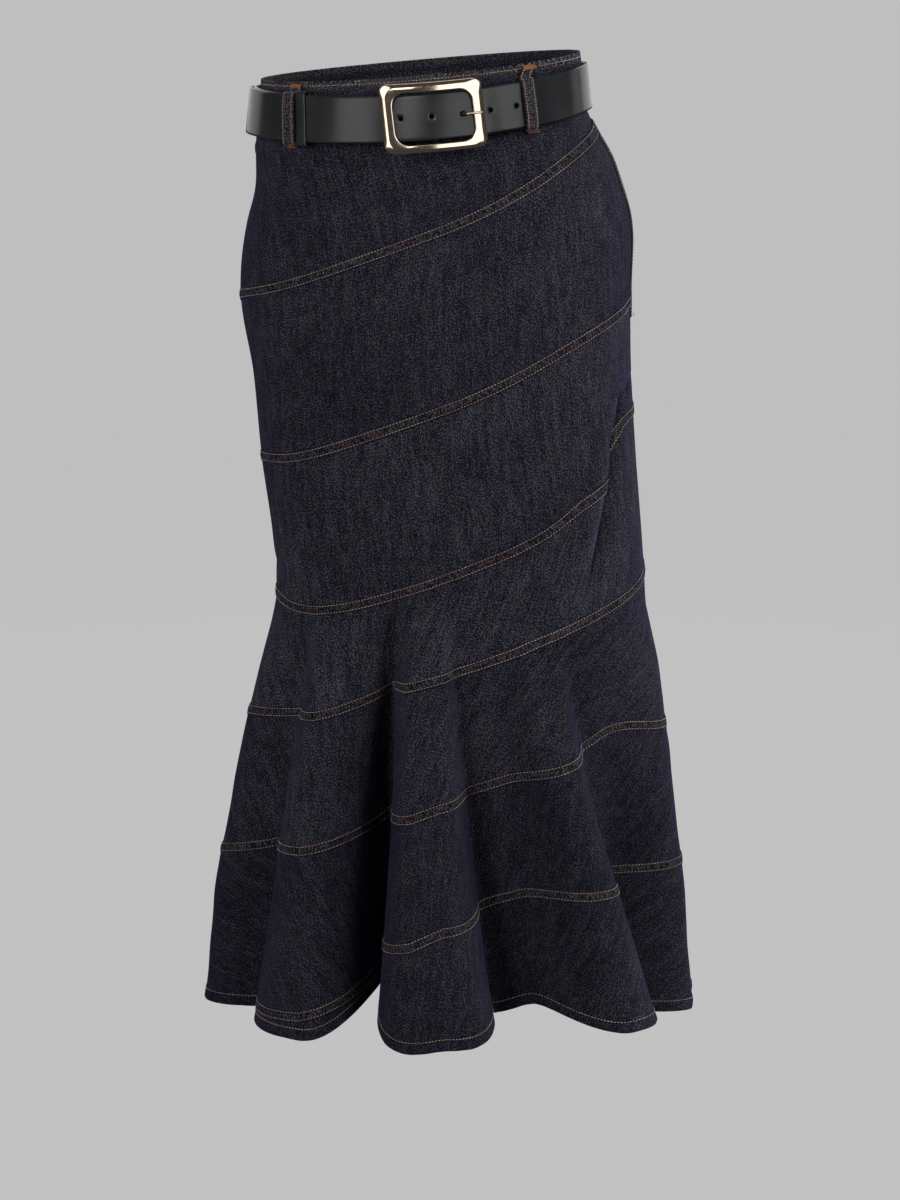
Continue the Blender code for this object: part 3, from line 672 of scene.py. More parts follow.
def cloth(turn, level, out=0.0, pucker=0.45):
    """Points of the outer cloth in millimetres, moved out by a distance.

    The section at each level is a slightly squared ellipse.  The folds push it out and in along
    its normal and slide their flanks along it, and they grow from the flare's top to the hem."""
    turn, level = np.broadcast_arrays(np.asarray(turn, float), np.asarray(level, float))
    start = between_folds(turn, "start")
    grown = np.clip((level - start) / (HEM_LEVEL - start), 0, None)
    top_angle = fold_angle(turn, "top_angle")
    spread = fold_angle(turn, "hem_angle") - top_angle
    angle = np.radians(top_angle + spread * np.clip(grown, 0, 1))
    fan = grown ** FLARE_POWER
    before, _, part = fold_span(turn)
    overhang = column(FOLD_COLUMNS, FOLDS, "overhang")[before]
    raised, slide = relief(turn, level, angle, pucker)
    slide = slide + grown ** 2 * overhang * np.sin(math.pi * part)
    out = out + raised + fan * between_folds(turn, "reach")
    half, front, back, centre = [section_size(name, level) for name in SECTION_COLUMNS[1:]]
    facing = np.clip(np.cos(angle), 0, 1)
    x, y = squared_ellipse(angle, half, np.where(facing > 0, front, back), out, slide)
    fade = np.clip(1 - level / WAIST_TILT_END, 0, 1)
    z = fade * (math.tan(WAIST_TILT) * x - WAIST_DIP * facing ** 2) - level
    return np.stack([x + centre, y, z], axis=-1)


def on_cloth(turn, level, height=0.0, pucker=0.45):
    """Points at a height off the cloth along its own normal, and that normal."""
    step_turn, step_level = 0.004, 0.6
    here, left, right, above, below = [
        cloth(turn + turn_step, level + level_step, 0.0, pucker)
        for turn_step, level_step in ((0, 0), (-step_turn, 0), (step_turn, 0),
                                      (0, -step_level), (0, step_level))]
    normal = unit(np.cross(below - above, right - left))
    return here + normal * np.asarray(height)[..., None], normal


def spiral_line(first, step):
    """Angles and levels along a felled seam at even steps of its length, and the change of angle
    and of level for each millimetre square to the seam, downwards.  The seam stops at the hem."""
    wound, levels = spiral_levels(first)
    fine = np.arange(wound[0] + 0.1, wound[-1], 0.2)
    level = smooth(wound, levels, fine)
    stop = np.argmax(level > hem_level(turn_at(90 - fine)) - HEM_STITCH) or len(fine)
    fine, level = fine[:stop], level[:stop]
    run = run_of(cloth(turn_at(90 - fine), level, 0.0, 0.0))
    where = np.linspace(0, run[-1], int(run[-1] / step))
    here = np.interp(where, run, fine)
    level = smooth(wound, levels, here)
    # fall for each millimetre run, and millimetres a degree: both are kept within what a seam
    # does away from a deep fold, and evened out over twelve millimetres to each side
    probe = (cloth(turn_at(90.8 - here), level, 0.0, 0.0)
             - cloth(turn_at(89.2 - here), level, 0.0, 0.0))
    drop = np.clip(np.gradient(level, where), -0.7, 0.7)
    per_degree = np.clip(np.linalg.norm(probe, axis=-1) / 1.6, 2.2, 4.2)
    count = int(12 / step) * 2 + 1
    drop, per_degree = evened(drop, count), evened(per_degree, count)
    return 90 - here, level, drop / per_degree, np.sqrt(1 - drop ** 2)


# ---------------------------------------------------------------- stitching
# Rings of a stitch: share of its length, then its middle's height and its radius in thread radii
STITCH_RINGS = ((0.0, -0.55, 0.5), (0.2, 0.45, 0.95), (0.8, 0.45, 0.95), (1.0, -0.55, 0.5))
STITCH_SLANT = 0.12


def thread_rings(centres, side, up, radii):
    """Rings of four points round the centres of short threads, with each thread's centres along
    the last but one axis.  Two directions span every ring, which faces outwards where a thread
    runs the way of side crossed with up, and there is a radius for each centre."""
    spoke = (math.pi / 2 * (np.arange(4) + 0.5))[:, None, None]
    rings = side[..., None, :, :] * np.cos(spoke) + up[..., None, :, :] * np.sin(spoke)
    return centres[..., None, :, :] + rings * radii[:, None]


def stitches(line, outward, pitch, length, radius, seed):
    """Topstitches along a line: each is a thread of four rings of four points that comes up
    through the cloth, lies on it and goes down again, with a little chance in its slant."""
    run = run_of(line)
    count = max(int(run[-1] / pitch), 1)
    start = (run[-1] - count * pitch) / 2 + pitch * np.arange(count) + (pitch - length) / 2
    part, lift, wide = np.array(STITCH_RINGS).T
    where = start[:, None] + length * part
    centre, up = at_run(where, run, line), unit(at_run(where, run, outward))
    ahead = unit(at_run(where + 0.3, run, line) - at_run(where - 0.3, run, line))
    side = unit(np.cross(up, ahead))
    slant = np.random.default_rng(seed).uniform(-STITCH_SLANT, STITCH_SLANT, (count, 1, 1))
    centre = centre + side * slant * (part - 0.5)[:, None] * 2 + up * (lift * radius)[:, None]
    return thread_rings(centre, side, up, wide * radius)


def topstitch(settings, line, outward, seed, finer=1.0):
    """Stitches of the skirt's own pitch and thread, or of a finer thread."""
    return stitches(line, outward, settings.pitch / MM, STITCH, settings.thread / MM * finer,
                    seed)


def bartack(left, right, outward, height, radius):
    """A dense bar of short upright stitches from one point to another: each is a thread across
    the bar, with its ends in the cloth."""
    count = max(int(np.linalg.norm(right - left) / (radius * 1.7)), 2)
    part = (np.arange(count) + 0.5) / count
    base = left + (right - left) * part[:, None]
    along = unit(right - left)
    tall = unit(np.cross(outward, along))
    share, lift, wide = np.array(STITCH_RINGS).T
    lean = 0.25 * radius * (-1) ** np.arange(count)
    centre = (base[:, None] + tall * ((share - 0.5) * height)[:, None]
              + along * (lean[:, None] * (share - 0.5) * 2)[..., None]
              + outward * (lift * radius + radius * 0.4)[:, None])
    return thread_rings(centre, outward[None], along[None], wide * radius)


def add_threads(name, runs, material, slot="denim"):
    """One piece made of several runs of stitches, bartacks or teeth."""
    points = np.concatenate([run.reshape(-1, 3) for run in runs])
    return add_piece(name, points, many(skin_faces(4, 4), 16, len(points) // 16), material, slot)


# ---------------------------------------------------------------- finishes
class Finish:
    """A material in the making: nodes are added by kind and joined by the sockets given."""

    def __init__(self, name):
        self.material = bpy.data.materials.new(name)
        self.material.use_nodes = True
        self.tree = self.material.node_tree
        self.shader = self.tree.nodes["Principled BSDF"]

    def join(self, node, socket, value):
        """Sets a socket to a value, or links it from another node's socket."""
        if isinstance(value, bpy.types.NodeSocket):
            self.tree.links.new(value, node.inputs[socket])
        else:
            node.inputs[socket].default_value = value

    def add(self, kind, sockets, **settings):
        """A node with its settings and its sockets."""
        node = self.tree.nodes.new("ShaderNode" + kind)
        for key, value in settings.items():
            setattr(node, key, value)
        for socket, value in sockets.items():
            self.join(node, socket, value)
        return node

    def place(self):
        """Coordinates in the skirt's own frame, in metres."""
        return self.add("TexCoord", {}).outputs["Object"]

    def weave(self):
        """Coordinates on the flat cut cloth, in metres."""
        return self.add("UVMap", {}, uv_map="weave").outputs[0]

    def carried(self, name):
        """A value that the mesh carries at its points."""
        return self.add("Attribute", {}, attribute_name=name).outputs["Fac"]

    def sum(self, operation, *values):
        """Arithmetic on two or three numbers."""
        return self.add("Math", dict(enumerate(values)), operation=operation).outputs[0]

    def stretched(self, vector, scale):
        """Coordinates with each axis multiplied, from metres to counts."""
        return self.add("VectorMath", {0: vector, 1: scale}, operation="MULTIPLY").outputs[0]

    def noise(self, vector, scale=1.0, detail=2.0):
        """Smooth random values from 0 to 1."""
        return self.add("TexNoise", {"Vector": vector, "Scale": scale, "Detail": detail}).outputs[0]

    def woven(self, weave, across, along, detail=2.0):
        """Noise with its counts in a metre given across and along the weave."""
        return self.noise(self.stretched(weave, (across, along, 1)), 1.0, detail)

    def window(self, value, low, high):
        """0 below low, 1 above high, and eased in between; high below low turns it round."""
        node = self.add("MapRange", {"Value": value, "From Min": low, "From Max": high},
                        interpolation_type="SMOOTHSTEP")
        return node.outputs[0]

    def mix(self, factor, first, second):
        """A mix of two colours."""
        return self.add("Mix", {0: factor, 6: first, 7: second}, data_type="RGBA").outputs[2]

    def bump(self, height, strength, distance):
        """Tiny relief on the shader's normal."""
        node = self.add("Bump", {"Height": height, "Strength": strength, "Distance": distance})
        self.join(self.shader, "Normal", node.outputs[0])

    def finish(self, **sockets):
        """Sets the shader's own sockets and gives the material."""
        for name, value in sockets.items():
            self.join(self.shader, name.replace("_", " ").title().replace("Ior", "IOR"), value)
        return self.material


def opaque(colour, share=1.0):
    """A colour with full alpha, each part of it multiplied by a share."""
    return tuple(part * share for part in colour) + (1.0,)


def denim_finish(settings):
    """Raw dark denim: an indigo twill with long uneven warp streaks and pale weft flecks.

    The mesh carries three values: the tone is how much weft shows, and on the panels it also
    holds a painted highlight along the side fold's edge and painted shade in the hollow past it;
    worn adds pale specks; and the third puts brown lint on the rungs of a felled seam's ladder
    and painted shade, near black, in the gaps between them."""
    cool_weft, dull, pale = (0.092, 0.099, 0.106), (0.034, 0.032, 0.028), (0.20, 0.185, 0.18)
    brown_lint, green_lint = (0.115, 0.060, 0.056), (0.058, 0.072, 0.062)
    # near black: painted shade for the gaps of a felled seam's ladder
    deep = (0.002, 0.002, 0.003)
    make = Finish("raw_denim")
    weave = make.weave()
    worn, lint_and_painted_ladder_shade = make.carried("worn"), make.carried("lint_and_painted_ladder_shade")
    grain = make.woven(weave, 880, 700)
    streak = make.woven(weave, 520, 110)
    slub = make.woven(weave, 190, 22)
    patch = make.woven(weave, 52, 44)
    cloud = make.woven(weave, 9, 6, 1.0)
    flecks = make.sum("MULTIPLY", grain, 0.80)
    for layer, share in ((streak, 0.20), (slub, 0.15), (patch, 0.07), (cloud, 0.07)):
        flecks = make.sum("MULTIPLY_ADD", layer, share, flecks)
    # the tone scales the flecks, and with it the side fold's painted highlight and painted shade
    flecks = make.sum("MULTIPLY", make.window(flecks, 0.59, 0.89), make.carried("tone"))
    hue = make.window(make.woven(weave, 110, 45, 3.0), 0.40, 0.60)
    weft = make.mix(hue, opaque(settings.fleck), opaque(cool_weft))
    colour = make.mix(flecks, opaque(settings.warp), weft)
    tint = make.window(make.woven(weave, 110, 90, 1.0), 0.50, 0.72)
    colour = make.mix(make.sum("MULTIPLY", tint, 0.2), colour, opaque(dull))
    ladder = make.woven(weave, 260, 620)
    rung = make.sum("MULTIPLY", make.window(ladder, 0.53, 0.59), lint_and_painted_ladder_shade)
    colour = make.mix(rung, colour, make.mix(hue, opaque(brown_lint), opaque(green_lint)))
    # painted shade: near black in the gaps between the ladder's rungs
    painted_gap_shade = make.sum("MULTIPLY", make.window(ladder, 0.54, 0.48), lint_and_painted_ladder_shade)
    colour = make.mix(painted_gap_shade, colour, opaque(deep))
    speck = make.window(make.woven(weave, 820, 740, 1.0), 0.52, 0.64)
    colour = make.mix(make.sum("MULTIPLY", speck, worn), colour, opaque(pale))
    axes = make.add("SeparateXYZ", {0: weave}).outputs
    rise = make.sum("MULTIPLY_ADD", axes[1], 5200.0, make.sum("MULTIPLY", axes[0], 9400.0))
    height = make.sum("MULTIPLY_ADD", make.sum("SINE", rise), 0.30,
                      make.sum("MULTIPLY", grain, 0.9))
    make.bump(make.sum("MULTIPLY_ADD", streak, 0.5, height), 0.55, 0.00045)
    return make.finish(base_color=colour, roughness=0.88, specular_ior_level=0.05,
                       sheen_weight=0.16, sheen_roughness=0.30, sheen_tint=(0.24, 0.22, 1.0, 1.0))


def thread_finish(name, colour, shadow, faint):
    """Spun thread: its colour mixed with a darker copy, painted shade, in short turns and longer
    stretches, a third colour in long stretches, and the strands' twist as relief."""
    make = Finish(name)
    place = make.place()
    drift = make.window(make.noise(place, 60.0, 1.0), 0.40, 0.62)
    turns = make.sum("MULTIPLY", make.noise(place, 900.0, 2.0), 0.45)
    # painted shade: a darker copy of the thread colour, mixed in by noise
    tint = make.mix(make.sum("MULTIPLY_ADD", drift, 0.55, turns), opaque(shadow), opaque(colour))
    faded = make.window(make.noise(place, 24.0, 2.0), 0.50, 0.64)
    tint = make.mix(make.sum("MULTIPLY", faded, 0.6), tint, opaque(faint))
    make.bump(make.noise(place, 2600.0, 1.0), 0.4, 0.0002)
    return make.finish(base_color=tint, roughness=0.55, specular_ior_level=0.3,
                       sheen_weight=0.15, sheen_roughness=0.5)


def leather_finish(settings):
    """Smooth black strap leather: a fine pebbled grain under a thin satin finish."""
    make = Finish("strap_leather")
    place = make.place()
    pebble = make.add("TexVoronoi", {"Vector": place, "Scale": 1500.0}).outputs["Distance"]
    pore = make.noise(place, 800.0, 3.0)
    cloud = make.noise(place, 26.0, 3.0)
    colour = make.mix(make.window(cloud, 0.35, 0.70), opaque(settings.leather),
                      opaque(settings.leather, 1.35))
    rough = make.sum("MULTIPLY_ADD", cloud, 0.10, make.sum("MULTIPLY_ADD", pore, 0.06, 0.085))
    make.bump(make.sum("MULTIPLY_ADD", pebble, 0.5, pore), 0.16, 0.0002)
    return make.finish(base_color=colour, roughness=rough, specular_ior_level=0.42)


def gold_finish(settings):
    """Polished pale gold plate with faint wiping marks."""
    make = Finish("polished_gold")
    wipe = make.noise(make.stretched(make.place(), (60, 60, 900)), 1.0, 3.0)
    return make.finish(base_color=make.mix(wipe, opaque(settings.gold),
                                           opaque(settings.gold, 0.93)),
                       metallic=1.0, roughness=make.sum("MULTIPLY_ADD", wipe, 0.10, 0.05))


def tape_finish():
    """Woven zip tape with a close rib."""
    make = Finish("zip_tape")
    weave = make.weave()
    rib = make.sum("MULTIPLY", make.add("SeparateXYZ", {0: weave}).outputs[1], 7000.0)
    lint = make.woven(weave, 900, 900)
    make.bump(make.sum("MULTIPLY_ADD", lint, 0.4, make.sum("SINE", rib)), 0.5, 0.0002)
    return make.finish(base_color=make.mix(lint, (0.006, 0.007, 0.014, 1),
                                           (0.018, 0.020, 0.034, 1)), roughness=0.8)


def brass_finish(settings):
    """The zip's brushed metal."""
    make = Finish("zip_brass")
    grain = make.noise(make.stretched(make.place(), (900, 900, 90)), 1.0, 2.0)
    return make.finish(base_color=make.mix(grain, opaque(settings.brass),
                                           opaque(settings.brass, 0.8)),
                       metallic=1.0, roughness=make.sum("MULTIPLY_ADD", grain, 0.2, 0.22))


def finishes(context):
    """The finishes by name, made once."""
    if "raw_denim" not in bpy.data.materials:
        denim, belt = context.scene.skirt_denim, context.scene.skirt_belt
        denim_finish(denim)
        # the second colour of each thread is its painted shade
        thread_finish("topstitch_thread", denim.tan, (0.30, 0.19, 0.15), (0.50, 0.27, 0.25))
        thread_finish("bartack_thread", denim.orange, (0.17, 0.045, 0.016), (0.30, 0.10, 0.03))
        leather_finish(belt)
        gold_finish(belt)
        tape_finish()
        brass_finish(belt)
    return bpy.data.materials


# ---------------------------------------------------------------- cloth pieces
def cut_plan(points, grain):
    """Where each point of a panel lay in its flat cut, in millimetres: the middle row turns by
    the difference of the upper and lower edges over the height, and the columns stand square.
    The difference and the columns are evened out over about twelve centimetres, as a fold in
    the cloth doesn't turn it, and each row is then slid along to keep its own length."""
    down = np.stack([evened(row, EVEN_COLUMNS) for row in run_of(points.transpose(1, 0, 2)).T])
    drop = down - down[len(points) // 2]
    along = np.diff(run_of(points), axis=1)
    step = along[len(points) // 2]
    height = np.maximum((down[-1, 1:] + down[-1, :-1]) / 2, LEAST_HEIGHT)
    heading = np.append(0, np.cumsum(evened((along[0] - along[-1]) / height, EVEN_COLUMNS)))
    heading = math.radians(grain) + heading - heading[len(heading) // 2]
    planned = step - (drop[:, 1:] + drop[:, :-1]) / 2 * np.diff(heading)
    slid = np.cumsum(np.pad(along - planned, ((0, 0), (1, 0))), axis=1)
    slid = slid - slid[:, [len(heading) // 2]]
    heading_mid = (heading[1:] + heading[:-1]) / 2
    x = np.append(0, np.cumsum(step * np.cos(heading_mid)))
    y = np.append(0, np.cumsum(step * np.sin(heading_mid)))
    return np.stack([x + np.cos(heading) * slid - np.sin(heading) * drop,
                     y + np.sin(heading) * slid + np.cos(heading) * drop], axis=-1)


def side_fold_painted_light(turns, level):
    """What a panel's tone is multiplied by: a painted highlight, more weft showing, along the edge
    of the side fold, and painted shade, less weft, in the hollow past it."""
    away, depth = side_fold(np.radians(fold_angle(turns, "top_angle")), level)
    # painted highlight along the fold's edge, then painted shade in the hollow past it
    edge = 1.2 * np.exp(-((away + 2.5) / 3.5) ** 2)
    hollow = 0.75 * np.exp(-((away - 14) / 11) ** 2)
    return 1 + depth / 15 * (edge - hollow)


def panel_grid(upper, lower, first, last, cell):
    """Turns and levels of a panel's grid of cells.  The columns stand at even steps of its lower
    edge, and the rows lie closer together at both edges."""
    fine = np.linspace(first + SIDE_GAP_TURNS * (first != 1), last - SIDE_GAP_TURNS, 4000)
    run = run_of(cloth(fine, edge_level(lower, fine), 0.0, 0.0))
    turn = np.interp(np.linspace(0, run[-1], int(run[-1] / cell)), run, fine)
    top = edge_level(upper, turn) + SEAM_GAP / 2
    bottom = edge_level(lower, turn) - (0 if lower == "hem" else SEAM_GAP / 2)
    part = np.linspace(0, 1, int((bottom - top).max() / cell))
    part = part - 0.55 * np.sin(2 * math.pi * part) / (2 * math.pi)
    level = top + (bottom - top) * part[:, None]
    return np.broadcast_to(turn, level.shape), level


class SKIRT_OT_panels(bpy.types.Operator):
    """Make the fourteen cut panels as thin closed shells with turned hems"""
    bl_idname = "skirt.panels"
    bl_label = "Panels"

    def execute(self, context):
        settings = context.scene.skirt_denim
        denim = finishes(context)["raw_denim"]
        above = {0: "cloth_band_front", LEFT_SIDE_TURN: "cloth_band_back"}
        made = []
        for number, (node, upper, lower, first, last, grain, tone, cut) in enumerate(PANELS):
            turns, level = panel_grid(upper, lower, first, last, settings.cell / MM)
            outer = cloth(turns, level, 0.0, settings.pucker / MM)
            folded = np.clip((HEM_TURNED - (hem_level(turns[0]) - level)) / 1.5, 0, 1)
            weave = cut_plan(outer, grain) + np.array(CUT_SHIFT) * number
            # each panel's own tone, times the side fold's painted highlight and painted shade
            tones_with_painted_fold_light = {"tone": wall_values(tone * side_fold_painted_light(turns, level))}
            piece = add_wall("cloth_" + node, outer, CLOTH_THICK + HEM_THICK * folded, denim,
                             "denim", (node,), weave, tones_with_painted_fold_light)
            made.append((piece, cut, above.get(first) or made[-1][0].name))
            above[first] = piece.name
        return {"FINISHED"}


def band_surface(turn):
    """The waistband's outer face, with its rubbed top edge uneven and a groove along the edge
    stitching, and its grid of turns and levels."""
    level = np.concatenate([(0.2, 0.8, 1.6, 2.6, 3.4, 4.4, 5.6),
                            np.linspace(8, BAND_DEPTH - SEAM_GAP / 2, 14)])[:, None]
    turns, level = np.broadcast_arrays(turn, level)
    drum = np.stack([turns * 45, level, turns * 0], axis=-1)
    wave = 0.35 * unevenness(drum, 9, 11) * np.exp(-(level / 6) ** 2)
    groove = 0.25 * np.exp(-((level - 3.0) / 0.7) ** 2)
    return cloth(turns, level, wave - groove), turns, level


class SKIRT_OT_waistband(bpy.types.Operator):
    """Make the two halves of the folded waistband, edge-stitched along the top"""
    bl_idname = "skirt.waistband"
    bl_label = "Waistband"

    def execute(self, context):
        settings = context.scene.skirt_denim
        made = finishes(context)
        runs = []
        for side, first, last in (("front", 0, LEFT_SIDE_TURN),
                                  ("back", LEFT_SIDE_TURN, len(FOLDS))):
            fine = np.linspace(first + SIDE_GAP_TURNS, last - SIDE_GAP_TURNS, 3000)
            run = run_of(cloth(fine, 20.0, 0.0, 0.0))
            turn = np.interp(np.linspace(0, run[-1], int(run[-1] / BAND_CELL)), run, fine)
            outer, turns, level = band_surface(turn)
            rubbed = wall_values(0.9 * np.exp(-((level - 2.0) / 4.5) ** 2))
            rubbed[len(level) + 2:-1] *= 0.3        # less of it on the inner face
            weave = wall_values(np.stack([level, turns * 45.0], axis=-1))
            # the rubbed top edge gets pale specks, brown lint and painted ladder shade
            piece = add_tube("cloth_band_" + side, wall(outer, BAND_THICK, 0.6),
                             made["raw_denim"], "denim", ("waistband_" + side,), weave,
                             {"tone": 0.9, "worn": rubbed, "lint_and_painted_ladder_shade": rubbed * 0.6})
            for below, height in ((3.0, -0.05), (BAND_DEPTH - 2.5, 0.05)):
                line, normal = on_cloth(fine, below + 0 * fine, height)
                runs.append(topstitch(settings, line, normal, len(runs)))
        add_threads("waistband_topstitch", runs, made["topstitch_thread"])
        return {"FINISHED"}


def lap_surface(seam, first, pucker):
    """A felled seam as a ring carried along its spiral, its place on the weave, how worn it is,
    and where it gets brown lint and painted ladder shade.  Between the stitch rows it stands in
    uneven rungs."""
    below, height = np.array(LAP_SECTION).T
    angle, level, angle_step, level_step = seam
    turns = turn_at(angle + angle_step * below[:, None])
    levels = level + level_step * below[:, None]
    run = np.arange(len(angle)) * LAP_STEP
    track = np.stack([run, run * 0 + 40 * first, run * 0], axis=-1)
    rung = unevenness(track, 3.1, 21) + 0.7 * unevenness(track, 2.0, 22)
    between = np.exp(-((below - LAP_MIDDLE) / 2.6) ** 4)[:, None]
    edge = np.exp(-((below - LAP_MIDDLE) / 4.6) ** 8)[:, None]
    heights = height[:, None] + 0.34 * between * rung + 0.15 * (1 - edge) * np.roll(rung, 3)
    outer, normal = on_cloth(turns, levels, heights, pucker)
    inner = outer - normal * (heights + CLOTH_THICK + LAP_INSIDE)[..., None]
    ends = outer[[0, -1]] - normal[[0, -1]] * CLOTH_THICK
    # the seam runs against the turns, so its ring goes the other way to face outwards
    points = np.concatenate([ends[:1], inner[1:-1], ends[1:], outer[::-1]])
    ring = np.concatenate([[0], np.arange(1, len(below) - 1), [-1], np.arange(len(below))[::-1]])
    weave = np.stack(np.broadcast_arrays(below[:, None], run), axis=-1)
    worn = np.clip(0.45 + 0.6 * rung, 0, 1) * between * 0.7
    # brown lint and painted ladder shade between the stitch rows
    lint_and_painted_ladder_shade = 0.8 * between * np.ones_like(rung)
    return points, weave[ring], {"tone": 0.85, "worn": worn[ring], "lint_and_painted_ladder_shade": lint_and_painted_ladder_shade[ring]}


def lap_stitches(seam, settings):
    """The two rows of topstitch along a felled seam."""
    below, height = np.array(LAP_SECTION).T
    angle, level, angle_step, level_step = seam
    runs = []
    for row in STITCH_ROWS:
        line, normal = on_cloth(turn_at(angle + angle_step * row), level + level_step * row,
                                np.interp(row, below, height), settings.pucker / MM)
        runs.append(topstitch(settings, line, normal, 5 + int(row)))
    return runs


def side_seam_surface(turn, pucker):
    """The open side seam inside the skirt at a turn, as a strip pressed in along its middle, and
    its place on the weave."""
    level = np.linspace(BAND_DEPTH + 1, hem_level(np.array(float(turn))) - 2, 260)
    probe = cloth(turn + 0.01, level, 0.0, 0.0) - cloth(turn - 0.01, level, 0.0, 0.0)
    per_turn = np.linalg.norm(probe, axis=-1) / 0.02
    across = np.linspace(-SIDE_SEAM_HALF, SIDE_SEAM_HALF, 13)
    turns = turn + across / per_turn[:, None]
    across, level = np.broadcast_arrays(across, level[:, None])
    sunk = -CLOTH_THICK - 0.15 - 0.35 * np.exp(-(across / 1.2) ** 2)
    return on_cloth(turns, level, sunk, pucker)[0], np.stack([across, level], axis=-1)


class SKIRT_OT_seams(bpy.types.Operator):
    """Make the two felled spiral seams, the open side seams and the twin rows of topstitch"""
    bl_idname = "skirt.seams"
    bl_label = "Seams"

    def execute(self, context):
        settings = context.scene.skirt_denim
        made = finishes(context)
        pucker = settings.pucker / MM
        for first in (0, 1):
            seam = spiral_line(first, LAP_STEP)
            points, weave, values = lap_surface(seam, first, pucker)
            add_tube(f"spiral_lap_{first + 1}", points, made["raw_denim"], "denim", (), weave,
                     values)
            add_threads(f"spiral_topstitch_{first + 1}", lap_stitches(seam, settings),
                        made["topstitch_thread"])
        for side, turn in (("left", LEFT_SIDE_TURN), ("right", len(FOLDS))):
            outer, weave = side_seam_surface(turn, pucker)
            add_wall("side_seam_" + side, outer, 0.9, made["raw_denim"], "denim", (), weave,
                     {"tone": 0.9})
        return {"FINISHED"}


class SKIRT_OT_hem(bpy.types.Operator):
    """Make the row of topstitch that holds the turned hem"""
    bl_idname = "skirt.hem"
    bl_label = "Hem stitching"

    def execute(self, context):
        settings = context.scene.skirt_denim
        turn = np.linspace(0.01, len(FOLDS) - 0.01, 9000)
        line, normal = on_cloth(turn, hem_level(turn) - HEM_STITCH, 0.05, settings.pucker / MM)
        add_threads("hem_topstitch", [topstitch(settings, line, normal, 9)],
                    finishes(context)["topstitch_thread"])
        return {"FINISHED"}


def loop_surface(angle, cloth_angle, lift, clear, count):
    """A belt loop's outer face: rows down the loop, and columns across it.

    The strip leaves the waistband's edge, goes out over the belt and comes back onto the panel
    below, by the smooth line through the same knots at each column."""
    side = np.linspace(-1, 1, LOOP_COLUMNS)
    half_step = belt_degrees(LOOP_WIDTH / 2, angle)
    lowest = BELT_WIDTH / 2 + clear
    route = ((lowest, 1.0), (lowest, lift), (lowest - 5, lift + 1.0), (0, lift + 1.6),
             (5 - lowest, lift + 1.0), (-lowest, lift), (-lowest, 1.0))
    turn = turn_at(cloth_angle)
    before, after = turn_at(cloth_angle - 1), turn_at(cloth_angle + 1)
    step = (cloth(after, 30.0) - cloth(before, 30.0)) / 2
    turn_width = (after - before) / 2 / np.linalg.norm(step)
    cloth_turn = turn + LOOP_WIDTH / 2 * turn_width * side
    knots = np.array([cloth(cloth_turn, LOOP_TOP, LOOP_THICK + 0.6)]
                     + [belt_ring(angle + half_step * side, across, LOOP_THICK + out)
                        for across, out in route]
                     + [cloth(cloth_turn, LOOP_BOTTOM, LOOP_THICK + 0.8)])
    lines = [eased_line(knots[:, place], count) for place in range(LOOP_COLUMNS)]
    return np.stack(lines, axis=1)


class SKIRT_OT_belt_loops(bpy.types.Operator):
    """Make the five belt loops with their edge stitching and orange bartacks"""
    bl_idname = "skirt.belt_loops"
    bl_label = "Belt loops"

    def execute(self, context):
        thread = context.scene.skirt_denim.thread / MM
        made = finishes(context)
        rows, tacks = [], []
        for node, *places in LOOPS:
            outer = loop_surface(*places, LOOP_ROWS)
            run = run_of(outer.transpose(1, 0, 2)).T
            across = np.broadcast_to(np.linspace(-6, 6, LOOP_COLUMNS), run.shape)
            # a little brown lint and painted ladder shade over each loop
            add_wall("cloth_" + node, outer, LOOP_THICK - 0.2, made["raw_denim"], "denim",
                     (node,), np.stack([across, run], axis=-1),
                     {"tone": 0.8, "worn": 0.6, "lint_and_painted_ladder_shade": 0.3})
            outward = normals(outer)
            for place in (1, LOOP_COLUMNS - 2):
                up = outward[3:-3, place]
                rows.append(stitches(outer[3:-3, place] + 0.02 * up, up, 2.6, 2.1, thread * 0.8,
                                     place))
            for down, tall in LOOP_TACKS:
                tacks.append(bartack(outer[down, 0], outer[down, -1],
                                     outward[down, LOOP_COLUMNS // 2], tall, 0.26))
        add_threads("belt_loop_topstitch", rows, made["topstitch_thread"])
        add_threads("belt_loop_bartacks", tacks, made["bartack_thread"])
        return {"FINISHED"}


# ---------------------------------------------------------------- side zip
def zip_strip(low, high, top, bottom, height, columns, rows):
    """A grid on the left side seam at a height off the cloth, and its normals: from low to high
    millimetres past the seam, and from one level down to another."""
    ends = cloth(turn_at(np.array((89.0, 91.0))), 150.0)
    degree = np.linalg.norm(ends[1] - ends[0]) / 2
    across = np.linspace(low, high, columns)
    turns, levels = np.broadcast_arrays(turn_at(90 + across / degree),
                                        np.linspace(top, bottom, rows)[:, None])
    return on_cloth(turns, levels, np.broadcast_to(height, turns.shape))


def zip_line(across, top, bottom, height, count):
    """A line down the side seam at a height off the cloth, and its normals."""
    line, normal = zip_strip(across, across + 0.1, top, bottom, height, 2, count)
    return line[:, 0], normal[:, 0]


def zip_teeth(side, height):
    """The teeth along one edge of the zip: short bars across it with narrower ends, half a step
    further down on the wearer's back side."""
    line, normal = zip_line(side * 1.1, ZIP_TOP + 8, ZIP_TOP + ZIP_LENGTH - 4, height, 260)
    down = unit(np.gradient(line, axis=0))
    sideways = unit(np.cross(normal, down))
    run = run_of(line)
    where = np.arange(0.5 + (side > 0) * TOOTH_PITCH / 2, run[-1], TOOTH_PITCH)
    across, out, ahead = [unit(at_run(where, run, way))[:, None]
                          for way in (sideways, normal, down)]
    share, size = np.array(TOOTH_RINGS).T
    centres = at_run(where, run, line)[:, None] + across * share[:, None]
    return thread_rings(centres, out * 1.1, ahead, size)


